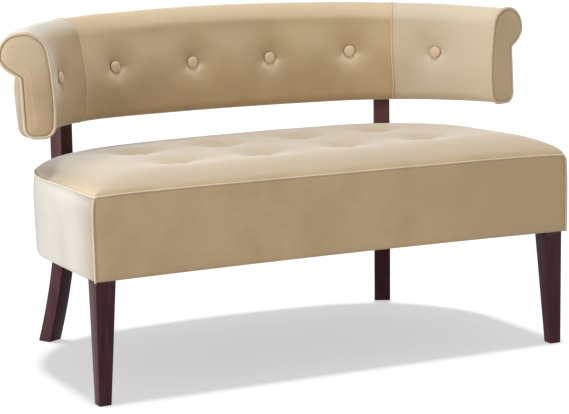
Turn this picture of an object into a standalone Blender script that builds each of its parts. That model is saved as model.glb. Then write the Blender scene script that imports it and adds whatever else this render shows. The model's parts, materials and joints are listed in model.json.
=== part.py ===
"""Upholstered bench settee with a curved, rolled and buttoned back, in metres with Z up.

The seat's front edge is at y = 0 while the pieces are made, and x = 0 is the middle.
At the end the whole part moves so that its origin is at the middle of its footprint.
"""
import math

import bmesh
import bpy
from mathutils import Matrix, Vector
from mathutils.bvhtree import BVHTree

# Shared fits
clearance = 0.0003
cut_overrun = 0.004
merge_distance = 0.00001
round_steps = 12

# Seat plan, at the level of the top welt
seat_half_width = 0.566
seat_side_straight = 0.2895
seat_corner_radius = 0.345
seat_rear_turn = math.radians(8.0)

# Seat heights
seat_underside = 0.256
seat_welt_height = 0.4245
seat_front_arch = 0.008
seat_rear_drop = 0.015
seat_crown = 0.046
crown_edge_width = 0.115

# Seat covers and tufts
skirt_flare = 0.0027
skirt_arch = 0.004
skirt_thickness = 0.003
cover_thickness = 0.002
dust_cover_thickness = 0.001
tuft_spacing_share = 0.353
tuft_row_spacing_share = 0.323
tuft_front_row_share = 0.286
tuft_columns = 4
tuft_rows = 2
tuft_depth = 0.013
tuft_spread = 0.042
button_radius = 0.0120
button_height = 0.0065
welt_radius = 0.0025

# Seat frame
frame_inset = 0.0065
rail_thickness = 0.022
rail_height_share = 0.56
deck_thickness = 0.012
stretcher_width = 0.060
stretcher_depth_share = 0.72
block_reach = 0.075
block_height_share = 0.72
rear_block_reach = 0.085
rear_block_thickness = 0.026
block_tip_share = 0.2

# Front legs
front_leg_foot = 0.027
front_leg_top = 0.044
edge_chamfer = 0.0015

# Rear legs, each one piece with its post
rear_leg_width = 0.039
rear_leg_depth = 0.034
rear_foot_depth = 0.0345
rear_foot_kick = 0.0553
foot_steps = 8
foot_curve_power = 1.5
post_turn = math.radians(28.5)

# Bolts
bolt_radius = 0.004
bore_radius = 0.0046
bolt_head_radius = 0.008
bolt_head_height = 0.004
head_recess_radius = 0.0095
head_recess_depth = 0.006
hanger_depth = 0.035
bolt_crown_share = 0.75
frame_bolt_rise_share = 0.48
post_bolt_rise_share = 0.36

# Back plan, along the front face
back_face_setback = 0.107
back_side_gap = 0.0134
back_middle_turn = math.radians(9.6)
back_corner_growth = 0.008
back_end_turn = math.radians(73.0)
back_arm_straight = 0.003

# Back section
back_thickness_middle = 0.082
back_thickness_end = 0.0755
back_edge_radius = 0.022
back_gap = 0.046
back_bottom_end_rise = 0.0035
roll_radius = 0.046
roll_overhang = 0.0360
roll_rise = 0.1933
roll_end_drop = 0.0181
roll_touch_turn = math.radians(9.0)
core_thickness = 0.012
core_below_roll = 0.020

# Back covers, seams and buttons
back_seam_share = 0.62
wing_button_share = 0.77
back_dimple_depth = 0.007
back_dimple_spread = 0.030
end_welt_radius = 0.004
end_former_thickness = 0.012
end_panel_rise = 0.003
end_panel_crown_inset = 0.006
station_step = 0.055
corner_steps = 7
edge_steps = 3
roll_steps = 9
shared_turn_gap = math.radians(1.0)

# Where the crown's rows of points lie between the front and rear edges
row_shares = (0, 0.012, 0.04, 0.09, 0.16, 0.23, 0.305, 0.38, 0.455,
              0.53, 0.61, 0.69, 0.77, 0.85, 0.92, 0.97, 1)
face_point_shares = (0.3, 0.54, 0.78)
button_level_index = 1
button_dome_share = 0.75
probe_radius_shares = (0, 0.5, 1)

# How the back's height and thickness change from its middle to its ends
roll_fall_power = 1.5
bottom_fall_power = 2
depth_fall_power = 3

# Steps along the skirt
front_skirt_steps = 10
side_skirt_steps = 4
corner_welt_steps = 4


# Values that follow from the sizes above
seat_corner_x = seat_half_width - seat_corner_radius
seat_rear_tangent_x = seat_corner_x + seat_corner_radius * math.sin(seat_rear_turn)
seat_rear_radius = seat_rear_tangent_x / math.sin(seat_rear_turn)
seat_rear_center_y = (seat_side_straight + seat_corner_radius * math.cos(seat_rear_turn)
                      - seat_rear_radius * math.cos(seat_rear_turn))
seat_depth = seat_rear_center_y + seat_rear_radius
tuft_spacing = seat_half_width * tuft_spacing_share
tuft_row_spacing = seat_depth * tuft_row_spacing_share
tuft_front_row = seat_depth * tuft_front_row_share
dust_cover_bottom = seat_underside + skirt_arch
rail_bottom = dust_cover_bottom + dust_cover_thickness + clearance
rail_height = (seat_welt_height - seat_rear_drop - rail_bottom) * rail_height_share
rail_top = rail_bottom + rail_height
block_height = rail_height * block_height_share
stretcher_depth = rail_height * stretcher_depth_share
frame_bolt_rise = rail_height * frame_bolt_rise_share
rail_inner_inset = frame_inset + rail_thickness
deck_bottom = rail_top + clearance
deck_top = deck_bottom + deck_thickness
leg_top = dust_cover_bottom - clearance
leg_setback = skirt_flare + skirt_thickness + clearance
top_cover_inset = skirt_thickness + clearance
welt_inset = skirt_thickness - welt_radius

back_corner_radius = seat_corner_radius + back_corner_growth
corner_center_x = seat_half_width - back_side_gap - back_corner_radius
back_middle_radius = back_corner_radius + corner_center_x / math.sin(back_middle_turn)
back_face_distance = seat_depth - back_face_setback
middle_length = back_middle_radius * back_middle_turn
corner_length = back_corner_radius * (back_end_turn - back_middle_turn)
back_half_length = middle_length + corner_length + back_arm_straight
back_bottom_middle = seat_welt_height + seat_crown + back_gap
back_bottom_end = back_bottom_middle + back_bottom_end_rise
roll_height_middle = back_bottom_middle + roll_rise
roll_height_end = roll_height_middle - roll_end_drop
roll_reach = back_thickness_end + roll_overhang - roll_radius
post_bolt_rise = (roll_height_end - back_bottom_end) * post_bolt_rise_share
middle_end_y = back_face_distance - back_middle_radius * (1 - math.cos(back_middle_turn))
corner_center_y = middle_end_y - back_corner_radius * math.cos(back_middle_turn)
post_distance = middle_length + back_corner_radius * (post_turn - back_middle_turn)
back_seam_distance = back_half_length * back_seam_share
button_distances = (tuft_spacing / 2, tuft_spacing * 3 / 2, back_half_length * wing_button_share)
cover_end = back_half_length - end_welt_radius - clearance
former_start = cover_end - end_former_thickness
roll_start = 1 + edge_steps + 1 + len(face_point_shares)

parts = bpy.data.collections.new("bench_settee")
cutters = bpy.data.collections.new("cutters")


# Scene, materials and helpers that every piece uses
def clear_scene():
    for item in list(bpy.data.objects):
        bpy.data.objects.remove(item, do_unlink=True)
    bpy.context.scene.collection.children.link(parts)
    bpy.context.scene.collection.children.link(cutters)


def make_material(name, colour, roughness, metallic=0.0):
    material = bpy.data.materials.new(name)
    material.use_nodes = True
    shader = material.node_tree.nodes["Principled BSDF"]
    shader.inputs["Base Color"].default_value = (*colour, 1.0)
    shader.inputs["Roughness"].default_value = roughness
    shader.inputs["Metallic"].default_value = metallic
    material.diffuse_color = (*colour, 1.0)
    return material


def link_part(name, mesh, material):
    mesh.materials.clear()
    mesh.materials.append(material)
    piece = bpy.data.objects.new(name, mesh)
    parts.objects.link(piece)
    return piece


def evaluated_mesh(item, name):
    """Turn an object's curve and modifiers into one welded mesh in world space."""
    bpy.context.view_layer.update()
    graph = bpy.context.evaluated_depsgraph_get()
    mesh = bpy.data.meshes.new_from_object(item.evaluated_get(graph))
    mesh.name = name
    mesh.transform(item.matrix_world)
    shape = bmesh.new()
    shape.from_mesh(mesh)
    bmesh.ops.remove_doubles(shape, verts=shape.verts, dist=merge_distance)
    bmesh.ops.recalc_face_normals(shape, faces=shape.faces)
    shape.to_mesh(mesh)
    shape.free()
    return mesh


def bake(item, name, material):
    """Replace a working object by a part that holds its finished mesh."""
    mesh = evaluated_mesh(item, name)
    bpy.data.objects.remove(item, do_unlink=True)
    return link_part(name, mesh, material)


def mirrored(piece, name):
    """Copy a right-hand piece to the left-hand side."""
    mesh = evaluated_mesh(piece, name)
    mesh.transform(Matrix.Scale(-1, 4, Vector((1, 0, 0))))
    mesh.flip_normals()
    return link_part(name, mesh, piece.data.materials[0])


def smooth_by_angle(piece, angle=math.radians(35)):
    piece.data.shade_smooth()
    piece.data.set_sharp_from_angle(angle=angle)
    return piece


def flat_outline(name, points, thickness, placement):
    """Fill a flat outline and give it a thickness, upward from the placement's own XY plane."""
    curve = bpy.data.curves.new(name, "CURVE")
    curve.dimensions = "2D"
    curve.fill_mode = "BOTH"
    curve.extrude = thickness / 2
    spline = curve.splines.new("POLY")
    spline.points.add(len(points) - 1)
    for slot, (x, y) in zip(spline.points, points):
        slot.co = (x, y, 0, 1)
    spline.use_cyclic_u = True
    item = bpy.data.objects.new(name, curve)
    item.matrix_world = placement @ Matrix.Translation((0, 0, thickness / 2))
    parts.objects.link(item)
    return item


def flat_piece(name, points, bottom, thickness, material):
    item = flat_outline(name, points, thickness, Matrix.Translation((0, 0, bottom)))
    return bake(item, name, material)


def cord_piece(name, points, radius, material, closed=False):
    """A round cord along the points, with filled ends unless it is closed."""
    curve = bpy.data.curves.new(name, "CURVE")
    curve.dimensions = "3D"
    curve.bevel_depth = radius
    curve.bevel_resolution = 1
    curve.use_fill_caps = True
    spline = curve.splines.new("POLY")
    spline.points.add(len(points) - 1)
    for slot, point in zip(spline.points, points):
        slot.co = (*point, 1)
    spline.use_cyclic_u = closed
    item = bpy.data.objects.new(name, curve)
    parts.objects.link(item)
    return smooth_by_angle(bake(item, name, material), math.radians(70))


def loft_piece(name, rings, material, fold=None):
    """Skin a row of rings, each a closed loop with as many points, and cap both ends.

    From the fold on, a ring runs back along itself, so its diagonals turn over:
    a cover's face, its lining and the foam inside then bend along the same lines.
    """
    shape = bmesh.new()
    loops = [[shape.verts.new(point) for point in ring] for ring in rings]
    for near, far in zip(loops, loops[1:]):
        for i in range(len(near)):
            j = (i + 1) % len(near)
            if fold is not None and i >= fold:
                shape.faces.new((near[i], near[j], far[i]))
                shape.faces.new((near[j], far[j], far[i]))
            else:
                shape.faces.new((near[i], near[j], far[j]))
                shape.faces.new((near[i], far[j], far[i]))
    shape.faces.new(loops[0][::-1])
    shape.faces.new(loops[-1])
    bmesh.ops.recalc_face_normals(shape, faces=shape.faces)
    mesh = bpy.data.meshes.new(name)
    shape.to_mesh(mesh)
    shape.free()
    return smooth_by_angle(link_part(name, mesh, material))


def turned_piece(name, profile, material, placement=Matrix()):
    """Turn a profile of radius and height, top to bottom, round its own Z axis."""
    shape = bmesh.new()
    verts = [shape.verts.new((radius, 0, height)) for radius, height in profile]
    for a, b in zip(verts, verts[1:]):
        shape.edges.new((a, b))
    mesh = bpy.data.meshes.new(name)
    shape.to_mesh(mesh)
    shape.free()
    item = bpy.data.objects.new(name, mesh)
    item.matrix_world = placement
    parts.objects.link(item)
    screw = item.modifiers.new("turn", "SCREW")
    screw.steps = round_steps
    screw.render_steps = round_steps
    screw.use_merge_vertices = True
    screw.merge_threshold = merge_distance
    return smooth_by_angle(bake(item, name, material), math.radians(50))


def cutter_from(item):
    """Move a working object to the cutters and hide it."""
    parts.objects.unlink(item)
    cutters.objects.link(item)
    item.hide_render = True
    item.display_type = "WIRE"
    return item


def round_cutter(name, radius, start, end):
    """A cylinder from start to end that drills a bore."""
    axis = end - start
    shape = bmesh.new()
    bmesh.ops.create_cone(shape, cap_ends=True, segments=round_steps, radius1=radius, radius2=radius,
                          depth=axis.length)
    mesh = bpy.data.meshes.new(name)
    shape.to_mesh(mesh)
    shape.free()
    mesh.transform(Matrix.Translation((start + end) / 2) @ axis.to_track_quat("Z", "Y").to_matrix().to_4x4())
    item = bpy.data.objects.new(name, mesh)
    parts.objects.link(item)
    return cutter_from(item)


def mirrored_cutter(tool, name):
    """Copy a right-hand cutter to the left-hand side."""
    mesh = tool.data.copy()
    mesh.transform(Matrix.Scale(-1, 4, Vector((1, 0, 0))))
    mesh.flip_normals()
    item = bpy.data.objects.new(name, mesh)
    parts.objects.link(item)
    return cutter_from(item)


def cut(piece, *tools):
    """Cut each tool out of the piece and keep the result as its mesh."""
    for tool in tools:
        change = piece.modifiers.new("cut", "BOOLEAN")
        change.operation = "DIFFERENCE"
        change.solver = "EXACT"
        change.object = tool
    mesh = evaluated_mesh(piece, piece.name)
    piece.modifiers.clear()
    material = piece.data.materials[0]
    piece.data = mesh
    mesh.materials.clear()
    mesh.materials.append(material)
    return piece


# Seat plan and top surface
def seat_edge(turn, inset):
    """A point on the right half of the seat's plan, where the outward normal has turned from rear to side."""
    if turn <= seat_rear_turn:
        radius = seat_rear_radius - inset
        return Vector((radius * math.sin(turn), seat_rear_center_y + radius * math.cos(turn)))
    radius = seat_corner_radius - inset
    return Vector((seat_corner_x + radius * math.sin(turn), seat_side_straight + radius * math.cos(turn)))


def signed_edge(turn, inset):
    point = seat_edge(abs(turn), inset)
    return Vector((math.copysign(point.x, turn), point.y))


def rear_y(x, inset):
    """How far back the seat's plan reaches at x."""
    x = abs(x)
    tangent_x = seat_corner_x + (seat_corner_radius - inset) * math.sin(seat_rear_turn)
    if x <= tangent_x:
        return seat_rear_center_y + math.sqrt((seat_rear_radius - inset) ** 2 - x * x)
    across = min(x - seat_corner_x, seat_corner_radius - inset)
    return seat_side_straight + math.sqrt((seat_corner_radius - inset) ** 2 - across * across)


def skirt_inset(z, welt_z):
    """The skirt leans out toward the welt above it, so lower points lie further in."""
    return skirt_flare * (welt_z - z) / (welt_z - seat_underside)


def welt_level(x, y):
    """Height of the seat's top welt: arched along the front and lower at the rear."""
    arch = seat_front_arch * (1 - (x / seat_half_width) ** 2) * (1 - y / seat_depth)
    return seat_welt_height + arch - seat_rear_drop * y / seat_depth


def edge_distance(x, y):
    """Distance from the side or rear edge of the seat's plan."""
    across = abs(x) - seat_corner_x
    along = y - seat_side_straight
    if along <= 0:
        return seat_half_width - abs(x)
    if math.atan2(across, along) > seat_rear_turn:
        return seat_corner_radius - math.hypot(across, along)
    return seat_rear_radius - math.hypot(x, y - seat_rear_center_y)


def puff(distance):
    """Rounded rise of the crown: 0 at the edge and 1 inside the edge's width."""
    part = 1 - min(max(distance, 0) / crown_edge_width, 1)
    return math.sqrt(1 - part * part)


def tuft_places():
    """Button places in plan, in rows from front to back."""
    half = (tuft_columns - 1) / 2
    return [((column - half) * tuft_spacing, tuft_front_row + row * tuft_row_spacing)
            for row in range(tuft_rows) for column in range(tuft_columns)]


def dimple(distance, spread):
    return math.exp(-((distance / spread) ** 2))


def seat_top(x, y):
    """Height of the tufted top cover's middle layer."""
    rise = seat_crown * puff(y - top_cover_inset) * puff(edge_distance(x, y) - top_cover_inset)
    sunk = sum(dimple(math.hypot(x - tx, y - ty), tuft_spread) for tx, ty in tuft_places())
    return welt_level(x, y) + rise - tuft_depth * sunk


def plan_turns(start, end, steps):
    return [start + (end - start) * i / steps for i in range(steps + 1)]


def turn_at_x(x):
    """Turn of the seat's plan at x on its rear edge."""
    if x <= seat_rear_tangent_x:
        return math.asin(x / seat_rear_radius)
    return math.asin((x - seat_corner_x) / seat_corner_radius)


def half_turns():
    """Turns that every piece along the seat's edge shares: even between the tufts, then round the corner."""
    count = tuft_columns * 2 - 1
    inner = [turn_at_x(tuft_spacing / 4 * i) for i in range(count + 1)]
    return inner + plan_turns(inner[-1], math.pi / 2, corner_steps)[1:]


def edge_turns(start, end):
    """The shared turns between two turns, which are the first and last of them."""
    marks = [-turn for turn in half_turns()[:0:-1]] + half_turns()
    low, high = sorted((start, end))
    inside = [turn for turn in marks if low + shared_turn_gap < turn < high - shared_turn_gap]
    turns = [low] + inside + [high]
    return turns if start < end else turns[::-1]


def crown_point(column, row, inset):
    """Plan point of the crown's grid: a column runs back from the front edge to its turn on the rear edge."""
    half = half_turns()
    turns = [-turn for turn in half[:0:-1]] + half
    rear = signed_edge(turns[column], inset)
    return Vector((rear.x, inset + row_shares[row] * (rear.y - inset)))


def crown_grid():
    """A grid that follows the seat's plan and its crowned, tufted top, with its columns and rows marked."""
    columns = len(half_turns()) * 2 - 1
    rows = len(row_shares)
    shape = bmesh.new()
    bmesh.ops.create_grid(shape, x_segments=columns - 1, y_segments=rows - 1, size=1)
    column_mark = shape.verts.layers.int.new("column")
    row_mark = shape.verts.layers.int.new("row")
    for vert in shape.verts:
        vert[column_mark] = round((vert.co.x + 1) / 2 * (columns - 1))
        vert[row_mark] = round((vert.co.y + 1) / 2 * (rows - 1))
        spot = crown_point(vert[column_mark], vert[row_mark], top_cover_inset)
        vert.co = (spot.x, spot.y, seat_top(spot.x, spot.y))
    bmesh.ops.triangulate(shape, faces=shape.faces)
    return shape


def finish_shape(shape, name, material):
    bmesh.ops.recalc_face_normals(shape, faces=shape.faces)
    mesh = bpy.data.meshes.new(name)
    shape.to_mesh(mesh)
    shape.free()
    return smooth_by_angle(link_part(name, mesh, material), math.radians(50))


def make_seat_top_cover(material):
    """The tufted cover: the crowned grid, thickened straight down."""
    shape = crown_grid()
    for vert in shape.verts:
        vert.co.z += cover_thickness / 2
    result = bmesh.ops.extrude_face_region(shape, geom=shape.faces[:])
    for item in result["geom"]:
        if isinstance(item, bmesh.types.BMVert):
            item.co.z -= cover_thickness
    return finish_shape(shape, "seat_top_cover", material)


def make_seat_foam(material):
    """The seat foam: crowned under the cover, flat on the deck, with sides that follow the skirt."""
    shape = crown_grid()
    for vert in shape.verts:
        vert.co.z -= cover_thickness / 2 + clearance
    rim = [edge for edge in shape.edges if edge.is_boundary]
    result = bmesh.ops.extrude_edge_only(shape, edges=rim)
    column_mark = shape.verts.layers.int["column"]
    row_mark = shape.verts.layers.int["row"]
    bottom = deck_top + clearance
    for item in result["geom"]:
        if isinstance(item, bmesh.types.BMVert):
            lean = skirt_inset(bottom, welt_level(item.co.x, item.co.y))
            spot = crown_point(item[column_mark], item[row_mark], top_cover_inset + lean)
            item.co = (spot.x, spot.y, bottom)
    floor = [item for item in result["geom"] if isinstance(item, bmesh.types.BMEdge)]
    bmesh.ops.holes_fill(shape, edges=floor, sides=0)
    return finish_shape(shape, "seat_foam", material)


# Back plan and section
def back_frame(distance):
    """Point on the back's front line and its outward normal, at a distance along it from the middle."""
    side = -1 if distance < 0 else 1
    run = abs(distance)
    if run <= middle_length:
        turn = run / back_middle_radius
        x = back_middle_radius * math.sin(turn)
        y = back_face_distance - back_middle_radius * (1 - math.cos(turn))
    else:
        turn = min(back_middle_turn + (run - middle_length) / back_corner_radius, back_end_turn)
        x = corner_center_x + back_corner_radius * math.sin(turn)
        y = corner_center_y + back_corner_radius * math.cos(turn)
        past = max(run - middle_length - corner_length, 0)
        x += past * math.cos(turn)
        y -= past * math.sin(turn)
    return Vector((side * x, y)), Vector((side * math.sin(turn), math.cos(turn)))


def back_point(distance, out, z):
    """World point at a distance along the back, a distance out from its front line, and a height."""
    point, normal = back_frame(distance)
    place = point + normal * out
    return Vector((place.x, place.y, z))


def roll_height(distance):
    share = 1 - (abs(distance) / back_half_length) ** roll_fall_power
    return roll_height_end + (roll_height_middle - roll_height_end) * share


def back_bottom(distance):
    share = 1 - (abs(distance) / back_half_length) ** bottom_fall_power
    return back_bottom_end + (back_bottom_middle - back_bottom_end) * share


def back_depth(distance):
    """Thickness of the back, which swells a little between the arms."""
    share = 1 - (abs(distance) / back_half_length) ** depth_fall_power
    return back_thickness_end + (back_thickness_middle - back_thickness_end) * share


def arc(center, radius, start, end, steps):
    """Points and unit normals along an arc of the section."""
    points = []
    for i in range(steps + 1):
        turn = start + (end - start) * i / steps
        normal = Vector((math.cos(turn), math.sin(turn)))
        points.append((center + normal * radius, normal))
    return points


def face_curve(distance):
    """The back's front face in section: from the bottom corner, leaning back to touch the roll."""
    roll = Vector((roll_reach, roll_height(distance)))
    corner = Vector((back_edge_radius, back_bottom(distance) + back_edge_radius))
    touch = math.pi - roll_touch_turn
    end = roll + Vector((math.cos(touch), math.sin(touch))) * roll_radius
    start_turn = 2 * math.atan2(end.x, end.y - corner.y) - roll_touch_turn
    start = corner + Vector((-math.cos(start_turn), math.sin(start_turn))) * back_edge_radius
    heading = Vector((math.sin(start_turn), math.cos(start_turn)))
    arrival = Vector((math.sin(roll_touch_turn), math.cos(roll_touch_turn)))
    gap = end - start
    reach = (gap.x * arrival.y - gap.y * arrival.x) / (heading.x * arrival.y - heading.y * arrival.x)
    middle = start + heading * reach
    points = []
    for share in face_point_shares:
        point = start * (1 - share) ** 2 + middle * (2 * share * (1 - share)) + end * share ** 2
        slope = ((middle - start) * (1 - share) + (end - middle) * share).normalized()
        points.append((point, Vector((-slope.y, slope.x))))
    return corner, start_turn, points, roll


def button_sink(distance, point):
    """How far the buttons draw the back's face in at a point of the section."""
    level = face_curve(distance)[2][button_level_index][0].y
    total = 0
    for place in button_distances:
        run = abs(distance) - place
        total += dimple(math.hypot(run, point.y - level), back_dimple_spread)
    return back_dimple_depth * total


def front_strip(distance, inset, dimpled=True):
    """Section of the front cover: under the bottom edge, up the face and over the roll to the neck."""
    corner, start_turn, face, roll = face_curve(distance)
    neck_turn = -math.acos((back_depth(distance) - roll_reach) / roll_radius)
    strip = [(Vector((back_depth(distance) / 2, back_bottom(distance))), Vector((0, -1)))]
    strip += arc(corner, back_edge_radius, -math.pi / 2, -math.pi - start_turn, edge_steps)
    strip += face
    strip += arc(roll, roll_radius, math.pi - roll_touch_turn, neck_turn, roll_steps)
    points = []
    for index, (point, normal) in enumerate(strip):
        on_face = edge_steps < index <= roll_start
        sunk = button_sink(distance, point) if dimpled and on_face else 0
        points.append(point - normal * (inset + sunk))
    return points


def outside_strip(distance, inset):
    """Section of the outside cover: from the bottom edge round its rear corner and up to the neck."""
    bottom = back_bottom(distance)
    depth = back_depth(distance)
    corner = Vector((depth - back_edge_radius, bottom + back_edge_radius))
    strip = [(Vector((depth / 2 + clearance, bottom)), Vector((0, -1)))]
    strip += arc(corner, back_edge_radius, -math.pi / 2, 0, edge_steps)
    points = [point - normal * inset for point, normal in strip]
    points.append(Vector((depth - inset, neck_level(distance))))
    return points


def neck_level(distance):
    """Height where the outside cover ends under the roll."""
    reach = back_depth(distance) - cover_thickness - roll_reach
    return roll_height(distance) - math.sqrt(roll_radius ** 2 - reach ** 2) - clearance * 2


def stations(start, end):
    """Distances along the back from start to end, with one at each button, seam and post."""
    keys = sorted([0, *button_distances, back_seam_distance, post_distance, former_start, cover_end])
    half = [0]
    for near, far in zip(keys, keys[1:]):
        count = max(1, round((far - near) / station_step))
        half += [near + (far - near) * i / count for i in range(1, count + 1)]
    marks = [-mark for mark in half[:0:-1]] + half
    return [start] + [mark for mark in marks if start + clearance * 2 < mark < end - clearance * 2] + [end]


def back_loft(name, start, end, section, material, fold=None):
    """Loft a section, given as a function of the distance along the back."""
    rings = []
    for distance in stations(start, end):
        rings.append([back_point(distance, point.x, point.y) for point in section(distance)])
    return loft_piece(name, rings, material, fold)


def back_cover(name, start, end, strip, material):
    """A cover between its face and its lining, which runs back along the same strip."""
    def section(distance):
        return strip(distance, 0) + strip(distance, cover_thickness)[::-1]
    return back_loft(name, start, end, section, material, fold=len(strip(0, 0)))


def core_section(distance):
    """The bent plywood core, just inside the outside cover."""
    outer = back_depth(distance) - cover_thickness - clearance
    inner = outer - core_thickness
    low = back_bottom(distance) + back_edge_radius
    high = roll_height(distance) - core_below_roll
    return [Vector((inner, low)), Vector((outer, low)), Vector((outer, high)), Vector((inner, high))]


def foam_section(distance):
    """The back foam: the face pad, and a foot that wraps under the core."""
    inset = cover_thickness + clearance
    core = core_section(distance)
    top = core[2].y
    front = [point for point in front_strip(distance, inset)[1:roll_start] if point.y < top]
    bottom = back_bottom(distance)
    corner = Vector((back_depth(distance) - back_edge_radius, bottom + back_edge_radius))
    bend = arc(corner, back_edge_radius, -math.pi / 2, 0, edge_steps)
    heel = [point - normal * inset for point, normal in bend]
    heel[-1].y = core[0].y - clearance
    inner = core[0].x - clearance
    return ([lining_point(distance, inset, top), Vector((inner, top)), Vector((inner, core[0].y - clearance))]
            + heel[::-1] + front)


def lining_point(distance, inset, level):
    """Where the front cover's lining crosses a level just below the roll."""
    above = front_strip(distance, inset)[roll_start]
    below = front_strip(distance, inset)[roll_start - 1]
    share = (level - below.y) / (above.y - below.y)
    return below.lerp(above, share)


def roll_section(distance):
    """The roll's core: it sits on the foam and the plywood and hangs over the outside."""
    inset = cover_thickness + clearance
    core = core_section(distance)
    level = core[2].y + clearance
    outer = core[2].x + clearance
    rim = [lining_point(distance, inset, level)] + front_strip(distance, inset)[roll_start:]
    return rim + [Vector((outer, rim[-1].y)), Vector((outer, level))]


def end_outline(distance, inset):
    """The whole key-shaped section at an arm's end."""
    radius = roll_radius - inset
    out = back_depth(distance) - inset
    neck = Vector((out, roll_height(distance) - math.sqrt(radius ** 2 - (out - roll_reach) ** 2)))
    front = front_strip(distance, inset, dimpled=False)[1:-1]
    heel = outside_strip(distance, inset)[1:-1]
    return front + [neck] + heel[::-1]


def end_ring(distance, inset):
    return [back_point(distance, point.x, point.y) for point in end_outline(distance, inset)]


# Posts and what is placed by them
def post_axes():
    """Middle of the right post's front face in plan, its rearward normal and its sideways direction."""
    point, normal = back_frame(post_distance)
    place = point + normal * (back_depth(post_distance) + clearance)
    return place, normal, Vector((normal.y, -normal.x))


def post_placement():
    """Axes of the right post: rearward, up and sideways."""
    place, normal, side = post_axes()
    return Matrix(((normal.x, 0, side.x, place.x), (normal.y, 0, side.y, place.y),
                   (0, 1, 0, 0), (0, 0, 0, 1)))


def post_point(rearward, sideways, z):
    place, normal, side = post_axes()
    spot = place + normal * rearward + side * sideways
    return Vector((spot.x, spot.y, z))


def turn_at_post(sideways, inset):
    """Turn of the seat's plan where it passes at a sideways distance from the post's middle line."""
    place, normal, side = post_axes()
    center = Vector((seat_corner_x, seat_side_straight))
    lateral = (center - place).dot(side)
    return post_turn + math.asin((sideways - lateral) / (seat_corner_radius - inset))


def make_post_cutter():
    """The space that the right rear leg takes, with its clearance, through the whole seat."""
    half = rear_leg_width / 2 + clearance
    points = [(-clearance, seat_underside / 2), (rear_leg_depth + rear_foot_kick, seat_underside / 2),
              (rear_leg_depth + rear_foot_kick, back_bottom_middle), (-clearance, back_bottom_middle)]
    placement = post_placement() @ Matrix.Translation((0, 0, -half))
    item = flat_outline("post_space_right", points, half * 2, placement)
    right = cutter_from(bake(item, "post_space_right", hidden))
    return right, mirrored_cutter(right, "post_space_left")


def make_rear_leg(material):
    """Sabre foot, straight leg and post in one piece of wood, bored for its two bolts."""
    front = []
    rear = []
    for i in range(foot_steps + 1):
        share = (1 - i / foot_steps) ** foot_curve_power
        z = seat_underside * i / foot_steps
        front.append((rear_foot_kick * share, z))
        rear.append((rear_foot_kick * share + rear_leg_depth + (rear_foot_depth - rear_leg_depth) * share, z))
    top = neck_level(post_distance) - clearance
    outline = front + [(0, top), (rear_leg_depth, top)] + rear[::-1]
    placement = post_placement() @ Matrix.Translation((0, 0, -rear_leg_width / 2))
    item = flat_outline("rear_leg_right", outline, rear_leg_width, placement)
    leg = bake(item, "rear_leg_right", material)
    ease = leg.modifiers.new("ease", "BEVEL")
    ease.width = edge_chamfer
    ease.segments = 1
    ease.limit_method = "ANGLE"
    ease.angle_limit = math.radians(60)
    for name, z in (("frame_bore", frame_bolt_level()), ("post_bore", post_bolt_level())):
        through = round_cutter(name, bore_radius, post_point(-cut_overrun, 0, z),
                               post_point(rear_leg_depth + cut_overrun, 0, z))
        recess = round_cutter(name + "_recess", head_recess_radius,
                              post_point(rear_leg_depth - head_recess_depth, 0, z),
                              post_point(rear_leg_depth + cut_overrun, 0, z))
        leg = cut(leg, through, recess)
    return leg


def frame_bolt_level():
    return rail_bottom + frame_bolt_rise


def post_bolt_level():
    return back_bottom(post_distance) + post_bolt_rise


def make_horizontal_bolt(name, z, tip, material):
    """A bolt from the recess in the post's rear face to a tip in front of the post."""
    head_seat = rear_leg_depth - head_recess_depth + clearance
    length = head_seat - tip
    profile = [(0, bolt_head_height), (bolt_head_radius * bolt_crown_share, bolt_head_height),
               (bolt_head_radius, bolt_head_height / 2), (bolt_head_radius, 0), (bolt_radius, 0),
               (bolt_radius, -length), (0, -length)]
    place, normal, side = post_axes()
    aim = Vector((normal.x, normal.y, 0)).to_track_quat("Z", "Y").to_matrix().to_4x4()
    return turned_piece(name, profile, material, Matrix.Translation(post_point(head_seat, 0, z)) @ aim)


# Seat pieces
def make_front_leg(material):
    """A square leg, straight on its two outer faces and tapered on its two inner ones."""
    shape = bmesh.new()
    bmesh.ops.create_cube(shape, size=2)
    outer_x = seat_half_width - leg_setback
    outer_y = leg_setback
    for vert in shape.verts:
        size = front_leg_top if vert.co.z > 0 else front_leg_foot
        vert.co = (outer_x - size * (1 - vert.co.x) / 2, outer_y + size * (1 + vert.co.y) / 2,
                   leg_top if vert.co.z > 0 else 0)
    mesh = bpy.data.meshes.new("front_leg_right")
    shape.to_mesh(mesh)
    shape.free()
    leg = link_part("front_leg_right", mesh, material)
    ease = leg.modifiers.new("ease", "BEVEL")
    ease.width = edge_chamfer
    ease.segments = 1
    return leg


def hanger_place():
    """Middle of the area where the front leg lies under its corner block."""
    leg_inner_x = seat_half_width - leg_setback - front_leg_top
    leg_inner_y = leg_setback + front_leg_top
    block_x = seat_half_width - rail_inner_inset
    return (leg_inner_x + block_x) / 2, (leg_inner_y + rail_inner_inset) / 2


def make_hanger_bolt(material):
    """Stud from the front leg up through its corner block, with a nut on the block."""
    x, y = hanger_place()
    nut_bottom = rail_bottom + block_height + clearance
    nut_top = nut_bottom + bolt_head_height
    stud_top = nut_top + bolt_head_height
    stud_bottom = leg_top - hanger_depth + clearance
    profile = [(0, stud_top), (bolt_radius, stud_top), (bolt_radius, nut_top), (bolt_head_radius, nut_top),
               (bolt_head_radius, nut_bottom), (bolt_radius, nut_bottom), (bolt_radius, stud_bottom),
               (0, stud_bottom)]
    return turned_piece("front_leg_bolt_right", profile, material, Matrix.Translation((x, y, 0)))


def right_edge(inset, front_y, last_turn):
    """Plan of the seat's right side, from front_y back round the corner to the last turn."""
    points = [Vector((seat_half_width - inset, front_y))]
    points += [seat_edge(turn, inset) for turn in edge_turns(math.pi / 2, last_turn)]
    return points


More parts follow.
